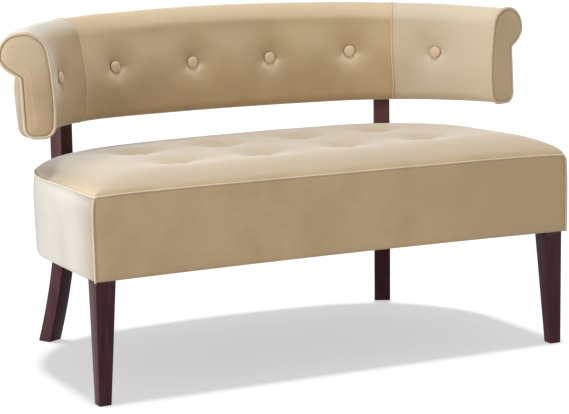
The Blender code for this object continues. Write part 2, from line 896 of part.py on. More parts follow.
def seat_loop(inset):
    """The seat's whole plan at an inset."""
    half = [Vector((seat_half_width - inset, inset))]
    half += [seat_edge(turn, inset) for turn in half_turns()[::-1]]
    return half + [Vector((-point.x, point.y)) for point in half[-2::-1]]


def make_rails(material):
    outer_x = seat_half_width - frame_inset
    front = [(-outer_x, frame_inset), (outer_x, frame_inset), (outer_x, rail_inner_inset),
             (-outer_x, rail_inner_inset)]
    flat_piece("seat_front_rail", front, rail_bottom, rail_height, material)
    beside = rear_leg_width / 2 + clearance
    side_turn = max(turn_at_post(beside, frame_inset), turn_at_post(beside, rail_inner_inset))
    start_y = rail_inner_inset + clearance
    side = right_edge(frame_inset, start_y, side_turn)
    side += right_edge(rail_inner_inset, start_y, side_turn)[::-1]
    right = flat_piece("seat_side_rail_right", side, rail_bottom, rail_height, material)
    mirrored(right, "seat_side_rail_left")
    back_turn = min(turn_at_post(-beside, frame_inset), turn_at_post(-beside, rail_inner_inset))
    turns = edge_turns(-back_turn, back_turn)
    back = [signed_edge(turn, frame_inset) for turn in turns]
    back += [signed_edge(turn, rail_inner_inset) for turn in turns[::-1]]
    flat_piece("seat_back_rail", back, rail_bottom, rail_height, material)
    half = stretcher_width / 2
    start_y = rail_inner_inset + clearance
    end_y = rear_y(half, rail_inner_inset) - clearance * 2
    stretcher = [(-half, start_y), (half, start_y), (half, end_y), (-half, end_y)]
    flat_piece("seat_stretcher", stretcher, rail_top - stretcher_depth, stretcher_depth, material)


def make_blocks(material, post_space, hanger_bore, frame_bore):
    """Corner blocks: three-sided ones over the front legs, curved ones behind the rear legs' front faces."""
    x = seat_half_width - rail_inner_inset - clearance
    y = rail_inner_inset + clearance
    tip = block_reach * block_tip_share
    front = [(x, y), (x, y + block_reach), (x - tip, y + block_reach), (x - block_reach, y + tip),
             (x - block_reach, y)]
    block = flat_piece("front_corner_block_right", front, rail_bottom, block_height, material)
    mirrored(cut(block, hanger_bore), "front_corner_block_left")
    inset = rail_inner_inset + clearance * 2
    turns = edge_turns(turn_at_post(-rear_block_reach, inset), turn_at_post(rear_block_reach, inset))[1:-1]
    rear = [signed_edge(turn, inset) for turn in turns]
    rear += [signed_edge(turn, inset + rear_block_thickness) for turn in (turns[-1], turns[0])]
    block = flat_piece("rear_corner_block_right", rear, rail_bottom, block_height, material)
    mirrored(cut(block, post_space, frame_bore), "rear_corner_block_left")


def front_skirt_ring(share):
    """Section of the front panel at a share of its half width, negative to the left."""
    setback = welt_inset + welt_radius + clearance
    welt_z = welt_level(share * seat_half_width, 0)
    top = welt_z - welt_radius - clearance
    bottom = seat_underside + skirt_arch * (1 - share * share)
    low = skirt_inset(seat_underside, welt_z)
    high = skirt_inset(top, welt_z)
    low_x = share * (seat_half_width - low - setback)
    high_x = share * (seat_half_width - high - setback)
    return [(low_x, low, bottom), (high_x, high, top), (high_x, high + skirt_thickness, top),
            (low_x, low + skirt_thickness, bottom)]


def side_edge(share, inset):
    """Point on the straight part of the side, from the corner welt back."""
    start = welt_inset + welt_radius + clearance + min(inset, skirt_flare)
    return Vector((seat_half_width - inset, start + share * (seat_side_straight - start)))


def side_skirt_ring(edge, place):
    """Section of a side or back panel, where edge gives its plan at a place and an inset."""
    spot = edge(place, 0)
    welt_z = welt_level(spot.x, spot.y)
    top = welt_z - welt_radius - clearance
    low = skirt_inset(seat_underside, welt_z)
    high = skirt_inset(top, welt_z)
    corners = ((low, seat_underside), (high, top), (high + skirt_thickness, top),
               (low + skirt_thickness, seat_underside))
    return [(*edge(place, inset), z) for inset, z in corners]


def make_skirt(material):
    """The four panels round the seat, each leaning out toward its top."""
    steps = front_skirt_steps
    rings = [front_skirt_ring(i * 2 / steps - 1) for i in range(steps + 1)]
    loft_piece("seat_skirt_front", rings, material)
    beside = rear_leg_width / 2 + clearance
    insets = (0, skirt_flare + skirt_thickness)
    last = max(turn_at_post(beside, inset) for inset in insets)
    rings = [side_skirt_ring(side_edge, i / side_skirt_steps) for i in range(side_skirt_steps)]
    rings += [side_skirt_ring(signed_edge, turn) for turn in edge_turns(math.pi / 2, last)]
    mirrored(loft_piece("seat_skirt_right", rings, material), "seat_skirt_left")
    last = min(turn_at_post(-beside, inset) for inset in insets)
    rings = [side_skirt_ring(signed_edge, turn) for turn in edge_turns(-last, last)]
    loft_piece("seat_skirt_back", rings, material)


def seat_welt(name, path, material):
    """A cord on a plan path at the welt's level."""
    points = [(*point, welt_level(point.x, point.y)) for point in path]
    return cord_piece(name, points, welt_radius, material)


def make_seat_welts(material):
    """The welt round the top edge, in a front and a rear length, and the two upright corner welts."""
    beside = rear_leg_width / 2 + welt_radius
    half = []
    corner = welt_radius + clearance * 3
    center = Vector((seat_half_width - welt_inset - corner, welt_inset + corner))
    for turn in plan_turns(math.pi, math.pi / 2, corner_welt_steps):
        half.append(center + Vector((math.sin(turn), math.cos(turn))) * corner)
    for i in range(1, side_skirt_steps):
        half.append(Vector((seat_half_width - welt_inset, seat_side_straight * i / side_skirt_steps)))
    last = turn_at_post(beside, welt_inset)
    half += [seat_edge(turn, welt_inset) for turn in edge_turns(math.pi / 2, last)]
    steps = front_skirt_steps
    front = [Vector((seat_half_width * (i * 2 / steps - 1), welt_inset)) for i in range(1, steps)]
    path = [Vector((-point.x, point.y)) for point in half[::-1]] + front + half
    seat_welt("seat_top_welt", path, material)
    last = turn_at_post(-beside, welt_inset)
    seat_welt("seat_rear_welt", [signed_edge(turn, welt_inset) for turn in edge_turns(-last, last)], material)
    top = seat_welt_height - welt_radius - clearance * 2
    points = []
    for z in (seat_underside, top):
        inset = skirt_inset(z, seat_welt_height) + welt_inset
        points.append((seat_half_width - inset, inset, z))
    right = cord_piece("seat_corner_welt_right", points, welt_radius, material)
    mirrored(right, "seat_corner_welt_left")


# Buttons
def button_profile():
    """A domed covered button, from its top to its flat underside."""
    dome_height = button_height * button_dome_share
    points = []
    for turn in plan_turns(0, math.pi / 2, edge_steps):
        points.append((button_radius * math.sin(turn), button_height - dome_height * (1 - math.cos(turn))))
    return points + [(button_radius, 0), (0, 0)]


def make_button(name, cover, origin, direction, material):
    """Set a button down on a cover, along a direction, so that its rim just clears the surface."""
    axes = (-direction).to_track_quat("Z", "Y").to_matrix().to_4x4()
    shape = bmesh.new()
    shape.from_mesh(evaluated_mesh(cover, "probe"))
    tree = BVHTree.FromBMesh(shape)
    shape.free()
    travel = []
    for i in range(round_steps * 2):
        turn = math.tau * i / (round_steps * 2)
        for share in probe_radius_shares:
            local = Vector((math.cos(turn), math.sin(turn), 0)) * (button_radius * share)
            hit = tree.ray_cast(origin + axes.to_3x3() @ local, direction)
            travel.append(hit[3])
    place = origin + direction * (min(travel) - clearance)
    return turned_piece(name, button_profile(), material, Matrix.Translation(place) @ axes)


def make_buttons(seat_cover, middle_cover, wing_right, wing_left, material):
    for index, (x, y) in enumerate(tuft_places(), start=1):
        above = Vector((x, y, seat_welt_height + seat_crown + back_gap))
        make_button(f"seat_button_{index}", seat_cover, above, Vector((0, 0, -1)), material)
    covers = {-1: wing_left, 1: wing_right}
    for side in (-1, 1):
        for index, distance in enumerate(button_distances, start=1):
            cover = covers[side] if distance > back_seam_distance else middle_cover
            run = side * distance
            face = face_curve(run)[2][button_level_index]
            point, normal = back_frame(run)
            slope = Vector((normal.x * -face[1].x, normal.y * -face[1].x, -face[1].y)).normalized()
            origin = back_point(run, face[0].x, face[0].y) - slope * back_thickness_end
            word = "left" if side < 0 else "right"
            make_button(f"back_button_{word}_{index}", cover, origin, slope, material)


# The back's pieces
def make_back(cloth, welt, foam, plywood, post_bore):
    end = back_half_length
    inner_end = former_start - clearance
    seam = back_seam_distance
    gap = welt_radius + clearance
    middle = back_cover("back_middle_cover", -seam + gap, seam - gap, front_strip, cloth)
    wing_right = back_cover("back_wing_cover_right", seam + gap, cover_end, front_strip, cloth)
    wing_left = back_cover("back_wing_cover_left", -cover_end, -seam - gap, front_strip, cloth)
    outside = back_cover("back_outside_cover", -cover_end, cover_end, outside_strip, cloth)
    cut(outside, *post_bore)
    core = back_loft("back_core", -inner_end, inner_end, core_section, plywood)
    cut(core, *post_bore)
    back_loft("back_foam", -inner_end, inner_end, foam_section, foam)
    back_loft("back_roll_core", -inner_end, inner_end, roll_section, foam)
    rings = [end_ring(distance, cover_thickness + clearance) for distance in (former_start, cover_end)]
    former = loft_piece("back_end_former_right", rings, plywood)
    mirrored(former, "back_end_former_left")
    inset = end_welt_radius + clearance
    rings = [end_ring(cover_end + clearance, inset), end_ring(end, inset),
             end_ring(end + end_panel_rise, inset + end_panel_crown_inset)]
    panel = loft_piece("back_end_panel_right", rings, cloth)
    mirrored(panel, "back_end_panel_left")
    end_welt = cord_piece("back_end_welt_right", end_ring(end, 0), end_welt_radius, welt, closed=True)
    mirrored(end_welt, "back_end_welt_left")
    path = [back_point(seam, point.x, point.y) for point in front_strip(seam, -clearance * 3)]
    seam_welt = cord_piece("back_seam_welt_right", path, welt_radius, welt)
    mirrored(seam_welt, "back_seam_welt_left")
    return middle, wing_right, wing_left


def set_origin_at_footprint():
    """Move the whole part so that its origin is at the middle of its footprint, on the floor."""
    bpy.context.view_layer.update()
    corners = [piece.matrix_world @ Vector(corner) for piece in parts.objects for corner in piece.bound_box]
    middle = (min(corner.y for corner in corners) + max(corner.y for corner in corners)) / 2
    base = bpy.data.objects.new("settee_base", None)
    parts.objects.link(base)
    base.location.y = -middle
    for piece in list(parts.objects) + list(cutters.objects):
        if piece is not base:
            piece.parent = base


clear_scene()
hidden = make_material("cutter", (0.5, 0.5, 0.5), 0.5)
espresso = make_material("espresso_stained_wood", (0.035, 0.012, 0.012), 0.32)
hardwood = make_material("frame_hardwood", (0.52, 0.36, 0.20), 0.60)
plywood = make_material("plywood", (0.60, 0.44, 0.26), 0.65)
foam = make_material("foam", (0.80, 0.74, 0.52), 0.90)
velvet = make_material("tan_velvet", (0.50, 0.39, 0.25), 0.80)
welt_velvet = make_material("tan_velvet_welt", (0.62, 0.49, 0.33), 0.75)
lining = make_material("black_lining", (0.02, 0.02, 0.022), 0.85)
steel = make_material("zinc_plated_steel", (0.62, 0.62, 0.64), 0.35, 1.0)

post_spaces = make_post_cutter()
hanger_x, hanger_y = hanger_place()
bore_bottom = Vector((hanger_x, hanger_y, leg_top - hanger_depth))
bore_top = Vector((hanger_x, hanger_y, rail_bottom + block_height + cut_overrun))
hanger_bore = round_cutter("hanger_bore_right", bore_radius, bore_bottom, bore_top)
hanger_bore_left = mirrored_cutter(hanger_bore, "hanger_bore_left")
frame_bore = round_cutter("block_bore_right", bore_radius,
                          post_point(-block_reach, 0, frame_bolt_level()),
                          post_point(cut_overrun, 0, frame_bolt_level()))
core_reach = cover_thickness + clearance * 2 + core_thickness
post_bore = round_cutter("core_bore_right", bore_radius,
                         post_point(-core_reach - cut_overrun, 0, post_bolt_level()),
                         post_point(cut_overrun, 0, post_bolt_level()))
post_bore_left = mirrored_cutter(post_bore, "core_bore_left")

front_leg = cut(make_front_leg(espresso), hanger_bore)
mirrored(front_leg, "front_leg_left")
mirrored(make_hanger_bolt(steel), "front_leg_bolt_left")
mirrored(make_rear_leg(espresso), "rear_leg_left")
tip = -(clearance + rear_block_thickness)
mirrored(make_horizontal_bolt("rear_leg_bolt_right", frame_bolt_level(), tip, steel), "rear_leg_bolt_left")
mirrored(make_horizontal_bolt("post_bolt_right", post_bolt_level(), -core_reach, steel), "post_bolt_left")

make_rails(hardwood)
make_blocks(hardwood, post_spaces[0], hanger_bore, frame_bore)
deck = flat_piece("seat_deck", seat_loop(frame_inset), deck_bottom, deck_thickness, plywood)
cut(deck, *post_spaces)
dust_cover = flat_piece("seat_dust_cover", seat_loop(frame_inset), dust_cover_bottom, dust_cover_thickness,
                        lining)
cut(dust_cover, *post_spaces, hanger_bore, hanger_bore_left)
cut(make_seat_foam(foam), *post_spaces)
seat_cover = cut(make_seat_top_cover(velvet), *post_spaces)
make_skirt(velvet)
make_seat_welts(welt_velvet)
back_covers = make_back(velvet, welt_velvet, foam, plywood, (post_bore, post_bore_left))
make_buttons(seat_cover, *back_covers, welt_velvet)
set_origin_at_footprint()
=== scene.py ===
# %% [markdown]
# # A bench settee in tan velvet
#
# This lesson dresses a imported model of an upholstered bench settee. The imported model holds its
# construction. Here each soft part gets its real surface, with tufts, seams, welts and buttons,
# and each material its grain or pile.
#
# Everything is in metres. X runs along the settee, Y toward its back, Z up.

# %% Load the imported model
import json
from math import (acos, asin, atan2, copysign, cos, degrees, exp, hypot, pi, radians, sin, sqrt,
                  tau)

import bmesh
import bpy
from mathutils import Matrix, Vector, noise
from mathutils.bvhtree import BVHTree


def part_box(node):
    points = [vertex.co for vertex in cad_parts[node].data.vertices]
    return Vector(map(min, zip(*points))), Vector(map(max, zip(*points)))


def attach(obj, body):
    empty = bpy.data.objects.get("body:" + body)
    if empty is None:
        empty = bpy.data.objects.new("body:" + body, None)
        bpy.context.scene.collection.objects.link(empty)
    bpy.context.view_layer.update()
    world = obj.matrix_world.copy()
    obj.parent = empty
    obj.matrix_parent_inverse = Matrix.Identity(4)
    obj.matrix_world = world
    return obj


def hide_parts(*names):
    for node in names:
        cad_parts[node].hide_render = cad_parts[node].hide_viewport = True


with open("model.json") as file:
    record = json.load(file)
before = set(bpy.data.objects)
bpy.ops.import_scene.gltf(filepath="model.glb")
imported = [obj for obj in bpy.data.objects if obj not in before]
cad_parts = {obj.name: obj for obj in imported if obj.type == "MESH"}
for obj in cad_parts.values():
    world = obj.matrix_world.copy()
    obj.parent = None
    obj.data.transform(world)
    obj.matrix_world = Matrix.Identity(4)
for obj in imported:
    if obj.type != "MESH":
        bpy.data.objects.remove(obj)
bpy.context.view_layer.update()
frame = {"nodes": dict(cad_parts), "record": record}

nodes = frame["nodes"]

# %% [markdown]
# ## Small helpers
#
# Covers are smooth sheets, made as grids of points: rows of points become rows of four-sided
# faces. Cords are bevelled curves, turned into meshes, which the exported model keeps. Two
# falling curves shape what is soft: `fade` drops sharply away from a seam, and `bell` makes a
# round hollow or swelling.

# %% Grid, closed loft, cord and falling curves
sides = ((1, "right"), (-1, "left"))


def add_object(name, data):
    item = bpy.data.objects.new(name, data)
    bpy.context.scene.collection.objects.link(item)
    return item


def finish_mesh(name, shape, material):
    bmesh.ops.recalc_face_normals(shape, faces=shape.faces)
    mesh = bpy.data.meshes.new(name)
    shape.to_mesh(mesh)
    shape.free()
    mesh.shade_smooth()
    mesh.materials.append(material)
    return add_object(name, mesh)


def closed_sheet(name, columns, material):
    """A closed form with a sharp rim, from columns of pairs: a front point and the one behind."""
    shape = bmesh.new()
    front, back = [[[shape.verts.new(pair[k]) for pair in column] for column in columns]
                   for k in (0, 1)]
    last, rim = len(front[0]) - 1, []
    for near, far, under, beyond in zip(front, front[1:], back, back[1:]):
        for k in range(last):
            shape.faces.new((near[k], near[k + 1], far[k + 1], far[k]))
            shape.faces.new((under[k], beyond[k], beyond[k + 1], under[k + 1]))
        for k in (0, last):
            rim.append(shape.faces.new((near[k], far[k], beyond[k], under[k])))
    for k in range(last):
        for near, under in ((front[0], back[0]), (front[-1], back[-1])):
            rim.append(shape.faces.new((near[k], near[k + 1], under[k + 1], under[k])))
    for face in rim:
        for edge in face.edges:
            edge.smooth = False
    return finish_mesh(name, shape, material)


def closed_loft(name, rings, material):
    """A closed form skinned over rings of points, with both ends filled."""
    shape = bmesh.new()
    loops = [[shape.verts.new(point) for point in ring] for ring in rings]
    for near, far in zip(loops, loops[1:]):
        for corners in zip(near, near[1:] + near[:1], far[1:] + far[:1], far):
            shape.faces.new(corners)
    shape.faces.new(loops[0][::-1])
    shape.faces.new(loops[-1])
    return finish_mesh(name, shape, material)


def stand_for(piece, slot, *names):
    """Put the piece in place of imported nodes."""
    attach(piece, "root")
    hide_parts(*names)


def welt(name, node, points, radius, material, closed=False):
    """A round cord along a path, in place of a packed welt."""
    curve = bpy.data.curves.new(name, "CURVE")
    curve.dimensions = "3D"
    curve.bevel_depth, curve.bevel_resolution, curve.use_fill_caps = radius, 4, not closed
    spline = curve.splines.new("POLY")
    spline.points.add(len(points) - 1)
    spline.use_cyclic_u = closed
    for slot, point in zip(spline.points, points):
        slot.co = (*point, 1)
    item = bpy.data.objects.new(name, curve)
    mesh = bpy.data.meshes.new_from_object(item)
    bpy.data.objects.remove(item)
    mesh.shade_smooth()
    mesh.materials.clear()
    mesh.materials.append(material)
    stand_for(add_object(name, mesh), "tan_velvet_welt", node)


def between(start, end, steps):
    return [start + (end - start) * i / steps for i in range(steps + 1)]


def turned(turn, length=1.0):
    return Vector((cos(turn), sin(turn))) * length


def circle(count, radius):
    return [turned(tau * k / count, radius).to_3d() for k in range(count)]


def clamped(value):
    return min(max(value, 0), 1)


def fade(away, width):
    return exp(-away / width)


def bell(away, width):
    return exp(-((away / width) ** 2))


print("helpers ready")

# %% [markdown]
# ## The camera
#
# The photograph was taken with a long lens, a little above the seat and from the settee's
# front left. Fitting the feet, the seat's edges and the back's ends gives the lens, the place
# and the three angles: heading, pitch and a small roll.

# %% Place the camera
photo_width, focal_pixels, sensor_width = 569, 2037.4, 36
heading, pitch, roll = radians(26.545), radians(9.591), radians(-0.843)
camera_x, camera_from_front, camera_height = -2.00786, 3.74327, 1.08127
front_inset = 0.0033

view_axis = Vector((sin(heading) * cos(pitch), cos(heading) * cos(pitch), -sin(pitch)))
level_right = Vector((cos(heading), -sin(heading), 0))
level_up = level_right.cross(view_axis)
camera_right = level_right * cos(roll) + level_up * sin(roll)
camera_up = level_up * cos(roll) - level_right * sin(roll)

seat_front_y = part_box("seat_top_cover")[0].y - front_inset
camera_data = bpy.data.cameras.new("camera")
camera_data.sensor_width = sensor_width
camera_data.lens = focal_pixels / photo_width * sensor_width
camera = add_object("camera", camera_data)
axes = Matrix((camera_right, camera_up, -view_axis)).transposed().to_4x4()
camera_place = (camera_x, seat_front_y - camera_from_front, camera_height)
camera.matrix_world = Matrix.Translation(camera_place) @ axes
bpy.context.scene.camera = camera
print("lens in mm:", round(camera_data.lens, 1), "seat front at y =", round(seat_front_y, 4))

# %% [markdown]
# ## Velvet
#
# Velvet is a short, dense pile. Seen straight on it shows its full colour, and seen along the
# surface it turns pale, which is what the shader's sheen does. The pile lies a little
# differently from place to place, so the colour gets soft clouds, and a fine bump breaks up
# the light as the fibres do.
#
# Each sewn panel has its own velvet, and the same cloth looks different on each through
# painted light: the seat's left side is painted nearly white, a painted sheen, and the back is
# painted paler where its roll turns up to the light, a painted highlight. So each has its own
# velvet, which can have another colour on top and toward one side; on top it is painted highlight.

# %% Velvet material
def node_material(name):
    material = bpy.data.materials.new(name)
    material.use_nodes = True
    return material, material.node_tree, material.node_tree.nodes["Principled BSDF"]


def set_inputs(node, values):
    """Set a node's inputs, or link them where the value is another node's output."""
    for name, value in values.items():
        if isinstance(value, bpy.types.NodeSocket):
            node.id_data.links.new(value, node.inputs[name])
        else:
            node.inputs[name].default_value = value
    return node


def add_node(tree, kind, output, values, **settings):
    """The output of a new node with these settings and inputs."""
    node = tree.nodes.new(kind)
    for name, value in settings.items():
        setattr(node, name, value)
    return set_inputs(node, values).outputs[output]


def object_place(tree):
    return add_node(tree, "ShaderNodeTexCoord", "Object", {})


def add_noise(tree, scale, detail, roughness=0.5, stretch=(1, 1, 1)):
    """Noise in object space, stretched along the axes."""
    mapping = {"Vector": object_place(tree), "Scale": stretch}
    return add_node(tree, "ShaderNodeTexNoise", "Fac", {
        "Vector": add_node(tree, "ShaderNodeMapping", "Vector", mapping), "Scale": scale,
        "Detail": detail, "Roughness": roughness})


def shades(colour, stops):
    return [(position, [part * level for part in colour]) for position, level in stops]


def add_ramp(tree, source, stops):
    """A ramp of (position, colour) stops over a source's value."""
    ramp = tree.nodes.new("ShaderNodeValToRGB")
    while len(ramp.color_ramp.elements) < len(stops):
        ramp.color_ramp.elements.new(0.5)
    for element, (position, colour) in zip(ramp.color_ramp.elements, stops):
        element.position = position
        element.color = (*colour, 1)
    return set_inputs(ramp, {"Fac": source}).outputs["Color"]


def add_bump(tree, shader, source, strength, distance):
    values = {"Strength": strength, "Distance": distance, "Height": source}
    set_inputs(shader, {"Normal": add_node(tree, "ShaderNodeBump", "Normal", values)})


def share_along(tree, source, direction, start, end):
    """How far a vector's part along a direction is between two values."""
    part = add_node(tree, "ShaderNodeVectorMath", "Value", {0: source, 1: direction},
                    operation="DOT_PRODUCT")
    span = {"Value": part, "From Min": start, "From Max": end}
    return add_node(tree, "ShaderNodeMapRange", "Result", span, interpolation_type="SMOOTHSTEP")


def mix_in(tree, first, colour, share):
    """The first colour mixed with a second one, by a share between zero and one."""
    values = {"A": first, "B": (*colour, 1), "Factor": share}
    return add_node(tree, "ShaderNodeMix", "Result", values, data_type="RGBA")


up = (0, 0, 1)
cloud_stops = ((0.30, 0.90), (0.50, 1.00), (0.70, 1.07))
white_tint, cool_tint, warm_tint = (1.0, 1.0, 1.0), (0.92, 0.97, 1.0), (0.95, 0.95, 0.90)
pale_tint, grey_tint = (0.9, 0.9, 0.9), (0.75, 0.75, 0.75)


def velvet(name, colour, tint=cool_tint, sheen=1.0, on_top=None, up_range=(0.2, 1.0), toward=None):
    """Velvet of one colour, with a painted highlight colour where it faces up, and another toward
    a side.
    """
    material, tree, shader = node_material(name)
    base = add_ramp(tree, add_noise(tree, 9, 4, 0.55), shades(colour, cloud_stops))
    if on_top:
        normal = add_node(tree, "ShaderNodeNewGeometry", "Normal", {})
        base = mix_in(tree, base, on_top, share_along(tree, normal, up, *up_range))
    if toward:
        *span, other = toward
        base = mix_in(tree, base, other, share_along(tree, object_place(tree), *span))
    set_inputs(shader, {"Base Color": base, "Roughness": 0.85, "Specular IOR Level": 0.15,
                        "Sheen Weight": sheen, "Sheen Roughness": 0.3, "Sheen Tint": (*tint, 1)})
    add_bump(tree, shader, add_noise(tree, 900, 2, 0.6), 0.35, 0.0004)
    return material


tan_velvet = velvet("tan_velvet", (0.538, 0.399, 0.236))
front_velvet = velvet("front_velvet", (0.575, 0.415, 0.241),
                      toward=((1, 0, 0), 0.10, 0.45, (0.53, 0.385, 0.225)))
side_velvet = velvet("side_velvet", (0.55, 0.45, 0.32))
# The seat's left side panel is painted nearly white, a painted sheen from the left lamps, which
# fades to darker tan toward its front corner.
painted_sheen_velvet = velvet("painted_sheen_velvet", (0.54, 0.51, 0.45), white_tint, toward=(
    (0, 1, 0), seat_front_y + 0.11, seat_front_y - 0.02, (0.36, 0.29, 0.215)))
# The seat cushion is painted greyer where it faces up, a painted sheen, and darker toward its rear
# left, a painted shade.
seat_velvet = velvet("seat_velvet", (0.56, 0.43, 0.268), grey_tint, 0.72, (0.493, 0.402, 0.289),
                     toward=((-0.8, 0.6, 0), 0.27, 0.42, (0.345, 0.29, 0.215)))
# The middle back pad is painted paler where it faces up and toward its upper left, a painted
# highlight.
middle_velvet = velvet("middle_velvet", (0.488, 0.357, 0.206), on_top=(0.60, 0.475, 0.31),
                       up_range=(0.10, 0.40),
                       toward=((-0.7, 0, 0.7), 0.62, 0.76, (0.60, 0.46, 0.29)))
# The right wing pad faces the left lamps: it is painted paler than the middle pad, and paler still
# on top and toward its end, a painted highlight.
wing_velvet = velvet("wing_velvet", (0.577, 0.465, 0.322), on_top=(0.59, 0.50, 0.375),
                     up_range=(0.05, 0.40),
                     toward=((1, 0, -0.5), 0.09, 0.19, (0.62, 0.52, 0.385)))
# The left wing pad faces away from the left lamps: it is painted a little darker, a painted shade,
# and paler where it faces up, a painted highlight.
shaded_velvet = velvet("shaded_velvet", (0.50, 0.37, 0.225), cool_tint, 0.6, (0.59, 0.53, 0.43))
# The left end panel is painted darker than the right one, a painted shade, and paler up at its
# roll, a painted highlight.
end_velvet = velvet("end_velvet", (0.50, 0.365, 0.225),
                    toward=(up, 0.60, 0.71, (0.575, 0.455, 0.305)))
# The outside cover is painted darker and greyer than the front pads, a painted shade.
outside_velvet = velvet("outside_velvet", (0.42, 0.35, 0.27), cool_tint, 0.6)
button_velvet = velvet("button_velvet", (0.491, 0.400, 0.288), grey_tint, 0.72)
# The back's buttons are painted paler than the pads round them, a painted highlight on their
# domes.
painted_highlight_velvet = velvet("painted_highlight_velvet", (0.66, 0.52, 0.35), warm_tint, 0.3)
# Seam cords and welts are painted paler than the flat velvet, a painted highlight along the cords;
# the seat welt is painted paler and greyer at its left end, like the painted sheen of the left
# side.
seam_velvet = velvet("seam_velvet", (0.66, 0.51, 0.335), pale_tint, 0.15)
welt_velvet = velvet("welt_velvet", (0.62, 0.50, 0.35), warm_tint, 0.4)
seat_welt_velvet = velvet("seat_welt_velvet", (0.62, 0.50, 0.35), warm_tint, 0.4,
                          toward=((1, 0, 0), -0.535, -0.560, (0.58, 0.52, 0.42)))
print("velvets:", [item.name for item in bpy.data.materials if item.name.endswith("velvet")])

# %% [markdown]
# ## Wood, plywood, foam, lining and steel
#
# The legs are stained nearly black-red, so the grain only shows as slightly lighter streaks
# under a thin coat of lacquer. The frame inside is pale sawn wood and plywood. The lining
# under the seat is a thin black cloth, and the bolts are plated steel.

# %% Wood and the other materials
def wood(name, dark, light, roughness, coat, along=(14, 14, 1.2), higher_up=None):
    material, tree, shader = node_material(name)
    base = add_ramp(tree, add_noise(tree, 9, 6, 0.65, along), ((0.35, dark), (0.65, light)))
    if higher_up:
        above_seat = share_along(tree, object_place(tree), up, 0.38, 0.46)
        base = mix_in(tree, base, higher_up, above_seat)
    set_inputs(shader, {"Base Color": base, "Roughness": roughness, "Specular IOR Level": 0.15,
                        "Coat Weight": coat, "Coat Roughness": 0.18})
    add_bump(tree, shader, add_noise(tree, 60, 4, 0.7, along), 0.12, 0.0003)
    return material


def patterned(name, add_pattern, stops, values, bump=None):
    """A material whose colour follows one pattern."""
    material, tree, shader = node_material(name)
    pattern = add_pattern(tree)
    set_inputs(shader, {"Base Color": add_ramp(tree, pattern, stops), **values})
    if bump:
        add_bump(tree, shader, pattern, *bump)
    return material


def plies(tree):
    values = {"Vector": object_place(tree), "Scale": 160, "Distortion": 1.5}
    return add_node(tree, "ShaderNodeTexWave", "Fac", values, bands_direction="Z")


def plain_cloth(name, colour, cell):
    stops = shades(colour, ((0.35, 0.80), (0.65, 1.15)))
    return patterned(name, lambda tree: add_noise(tree, cell, 3, 0.6), stops,
                     {"Roughness": 0.9}, (0.4, 0.0004))


espresso = wood("espresso_stain", (0.029, 0.0065, 0.009), (0.061, 0.016, 0.020), 0.42, 0.03)
# The right rear post is painted lighter above the seat, a painted highlight where light falls on
# it between the back and the seat.
painted_light_espresso = wood("painted_light_espresso_stain", (0.026, 0.005, 0.007), (0.055, 0.013, 0.016), 0.42,
                     0.03, higher_up=(0.145, 0.062, 0.056))
frame_wood = wood("sawn_frame_wood", (0.46, 0.31, 0.17), (0.60, 0.43, 0.26), 0.7, 0, (3, 14, 14))
birch_ply = patterned("birch_plywood", plies,
                      ((0.2, (0.50, 0.36, 0.21)), (0.8, (0.63, 0.48, 0.30))), {"Roughness": 0.7})
zinc = patterned("zinc_plated_steel", lambda tree: add_noise(tree, 200, 3),
                 ((0.3, (0.50, 0.50, 0.52)), (0.7, (0.66, 0.66, 0.68))),
                 {"Metallic": 1, "Roughness": 0.35})
finishes = {"espresso_stained_wood": espresso, "frame_hardwood": frame_wood, "plywood": birch_ply,
            "foam": plain_cloth("cut_foam", (0.80, 0.74, 0.52), 1200),
            "black_lining": plain_cloth("black_lining", (0.012, 0.012, 0.013), 1600),
            "zinc_plated_steel": zinc, "tan_velvet": tan_velvet, "tan_velvet_welt": welt_velvet}
for part in frame["record"]["subparts"]:
    node = nodes[part["node"]]
    node.data.materials.clear()
    node.data.materials.append(finishes[part["material_slot"]])

# %% [markdown]
# ## The plan of the back and the posts
#
# The back is bent plywood with foam on it. In plan its face runs along a wide arc in the
# middle and a tight arc at each side, and ends in short arms. A place on it is given by `at`,
# the distance along that line from the middle, and by a point of its section: the distance out
# from the line, and the height. Low down the arms reach a little further forward than at the
# roll. The two rear legs run up behind the back as posts, square to that line.

# %% Back line and post place
half_width, side_straight, corner_radius = 0.566, 0.2895, 0.345
rear_turn = radians(8.0)
corner_x = half_width - corner_radius
rear_radius = (corner_x + corner_radius * sin(rear_turn)) / sin(rear_turn)
rear_center = side_straight + (corner_radius - rear_radius) * cos(rear_turn)
seat_depth = rear_center + rear_radius

middle_turn, end_turn = radians(9.6), radians(73.0)
bend_radius, bend_inset, face_from_rear, end_run = 0.353, 0.0134, 0.107, 0.003
bend_x = half_width - bend_inset - bend_radius
middle_radius = bend_radius + bend_x / sin(middle_turn)
face_y = seat_depth - face_from_rear
bend_y = face_y - middle_radius * (1 - cos(middle_turn)) - bend_radius * cos(middle_turn)
middle_length = middle_radius * middle_turn
bend_length = bend_radius * (end_turn - middle_turn)
half_length = middle_length + bend_length + end_run

end_depth, extra_depth = 0.0755, 0.0065
arm_reach, arm_start, arm_run, reach_top, reach_height = 0.008, 0.42, 0.14, 0.70, 0.18
post_turn, post_width, post_depth, post_gap = radians(28.5), 0.039, 0.034, 0.0003


def raised(point, z):
    """A point of the plan at a height. The plan is measured from the seat's front."""
    return Vector((point.x, point.y + seat_front_y, z))


